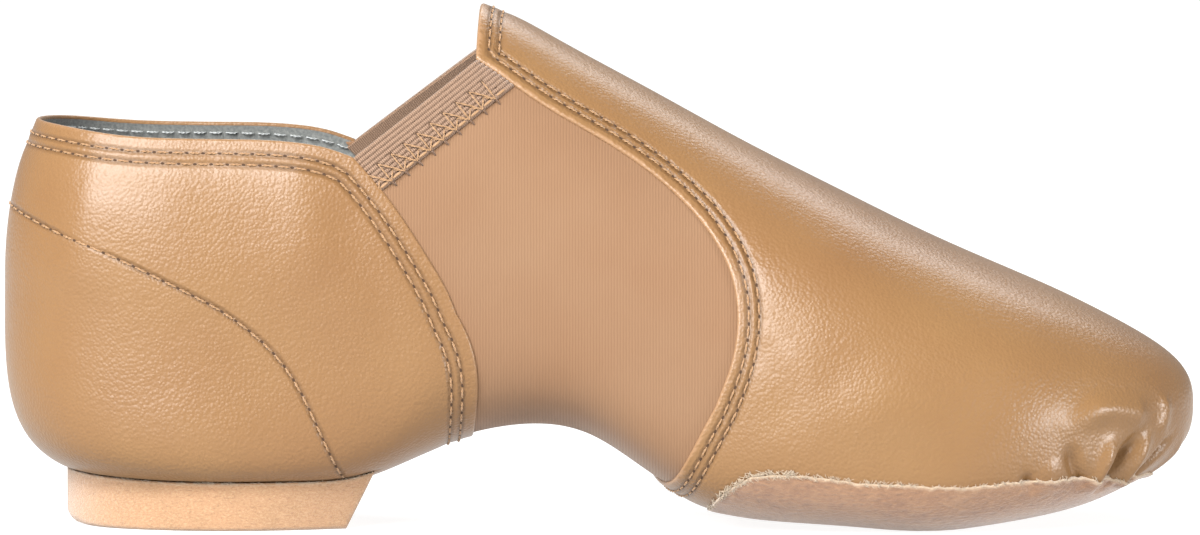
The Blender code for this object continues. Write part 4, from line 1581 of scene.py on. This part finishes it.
def build_shoe():
    """Makes the materials and the pieces, and hides the CAD parts that they take the place of."""
    leather, knit = grained_leather(), ribbed_knit()
    patch_suede = split_suede("napped_split_suede", "#6F4B2E", "#7B5839", "#8A6645", 0.55 * MM, 2.6)
    heel_suede = split_suede("buffed_split_suede", "#906C48", "#99724E", "#A78663", 0.36 * MM, 1.8)
    lining, elastic = brushed_lining(), corded_elastic()
    thread = spun_thread("bonded_polyester_thread", "#886642")
    light = spun_thread("textured_polyester_thread", "#866543")
    # A darker copy of the overlock thread for its ends: painted shade where they dip into the knit.
    dark = spun_thread("painted_shade_polyester_thread", "#583D27")
    pale = spun_thread("pale_polyester_thread", "#949796")
    fibre = spun_thread("suede_fibre", "#A3927D")
    hole = plain("needle_hole_shade", "#392617", 1.0)
    quarter, vamp = make_quarter(leather), make_vamp(leather)
    gore = make_gore(knit)
    lining_cloth = make_lining(lining)
    insole = make_insole(lining)
    sole = make_forefoot_sole(patch_suede)
    heel = make_heel(heel_suede)
    bands = [
        make_elastic("corded_elastic_outer", OUTER, elastic),
        make_elastic("corded_elastic_inner", INNER, elastic),
    ]
    patch_fray = make_fray("patch_fray", fibre, sole_rim(), PATCH_TUFTS, vamp_relief)
    heel_fray = make_fray("heel_fray", fibre, heel_line(HEEL_FRAY_POINTS), HEEL_TUFTS, quarter_relief)
    for piece in (quarter, vamp, gore, lining_cloth, *make_sewing(thread, light, dark, pale, hole)):
        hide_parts("upper")
    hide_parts("insole")
    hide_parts("forefoot_sole")
    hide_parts("heel")
    for band, name in zip(bands, ("elastic_outer", "elastic_inner")):
        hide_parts(name)


def area_light(name, place, target, size, power):
    """A softbox of this size in metres at a place, turned to a target."""
    data = bpy.data.lights.new(name, "AREA")
    data.shape = "RECTANGLE"
    data.size, data.size_y = size
    data.energy = power
    lamp = bpy.data.objects.new(name, data)
    lamp.location = place
    lamp.rotation_euler = (Vector(target) - Vector(place)).to_track_quat("-Z", "Y").to_euler()
    bpy.context.scene.collection.objects.link(lamp)


def lit_table():
    """Opal acrylic over a light: white right to the edge, and the shoe's shadow stays
    faint on it."""
    material, tree, _ = blank("opal_acrylic_light_table")
    return finish_material(
        material,
        tree,
        Base_Color=linear("#7A7A7A"),
        Roughness=0.9,
        Emission_Color=(1.0, 1.0, 1.0, 1.0),
        Emission_Strength=0.90,
    )


def soft_world():
    """A plain grey room, a little brighter behind the shoe than on the camera's side."""
    world = bpy.data.worlds.new("soft_room")
    world.use_nodes = True
    tree = world.node_tree
    tree.nodes.clear()
    direction = node(tree, "ShaderNodeTexCoord").outputs["Generated"]
    depth = node(tree, "ShaderNodeSeparateXYZ", {"Vector": direction}).outputs["Y"]
    strength = ranged(tree, depth, -0.3, 0.7, 0.34, 0.46, kind="SMOOTHSTEP")
    sky = node(tree, "ShaderNodeBackground", {"Color": (1, 1, 1, 1), "Strength": strength})
    node(tree, "ShaderNodeOutputWorld", {"Surface": sky.outputs["Background"]})
    bpy.context.scene.world = world


def build_room():
    """A white table, lit from within, under four softboxes."""
    mesh = bpy.data.meshes.new("studio_floor")
    reach = TABLE_REACH
    corners = [(-reach, -reach, 0), (reach, -reach, 0), (reach, reach, 0), (-reach, reach, 0)]
    mesh.from_pydata(corners, [], [(0, 1, 2, 3)])
    floor = bpy.data.objects.new("studio_floor", mesh)
    mesh.materials.append(lit_table())
    bpy.context.scene.collection.objects.link(floor)

    soft_world()
    bpy.context.scene.view_settings.view_transform = "Standard"
    for name, values in SOFTBOXES.items():
        area_light(name, *values)


# The photograph's frame, the length of the shoe and the row of the floor in pixels. The
# camera's elevation, its distance and the near side of the shoe in metres, and the
# width of its sensor in millimetres.
FRAME_PIXELS = (1200, 535)
SHOE_PIXELS = 1193
FLOOR_ROW = 531
ELEVATION = math.radians(4.5)
NEAR_SIDE = -0.0255
DISTANCE = 5.0
SENSOR = 36.0


def build_camera():
    """Looks along +Y from a little above, at the middle of the photograph's frame."""
    per_pixel = LENGTH / SHOE_PIXELS
    data = bpy.data.cameras.new("photo_camera")
    data.sensor_width = SENSOR
    data.lens = SENSOR * DISTANCE / (FRAME_PIXELS[0] * per_pixel)
    data.clip_start, data.clip_end = 0.05, 50.0
    camera = bpy.data.objects.new("photo_camera", data)
    rise = (FLOOR_ROW - FRAME_PIXELS[1] / 2) * per_pixel
    target = Vector((0.5 * per_pixel, NEAR_SIDE, rise / math.cos(ELEVATION)))
    away = Vector((0, -math.cos(ELEVATION), math.sin(ELEVATION)))
    camera.location = target + away * DISTANCE
    camera.rotation_euler = (-away).to_track_quat("-Z", "Y").to_euler()
    bpy.context.scene.collection.objects.link(camera)
    bpy.context.scene.camera = camera


build_shoe()
build_room()
build_camera()
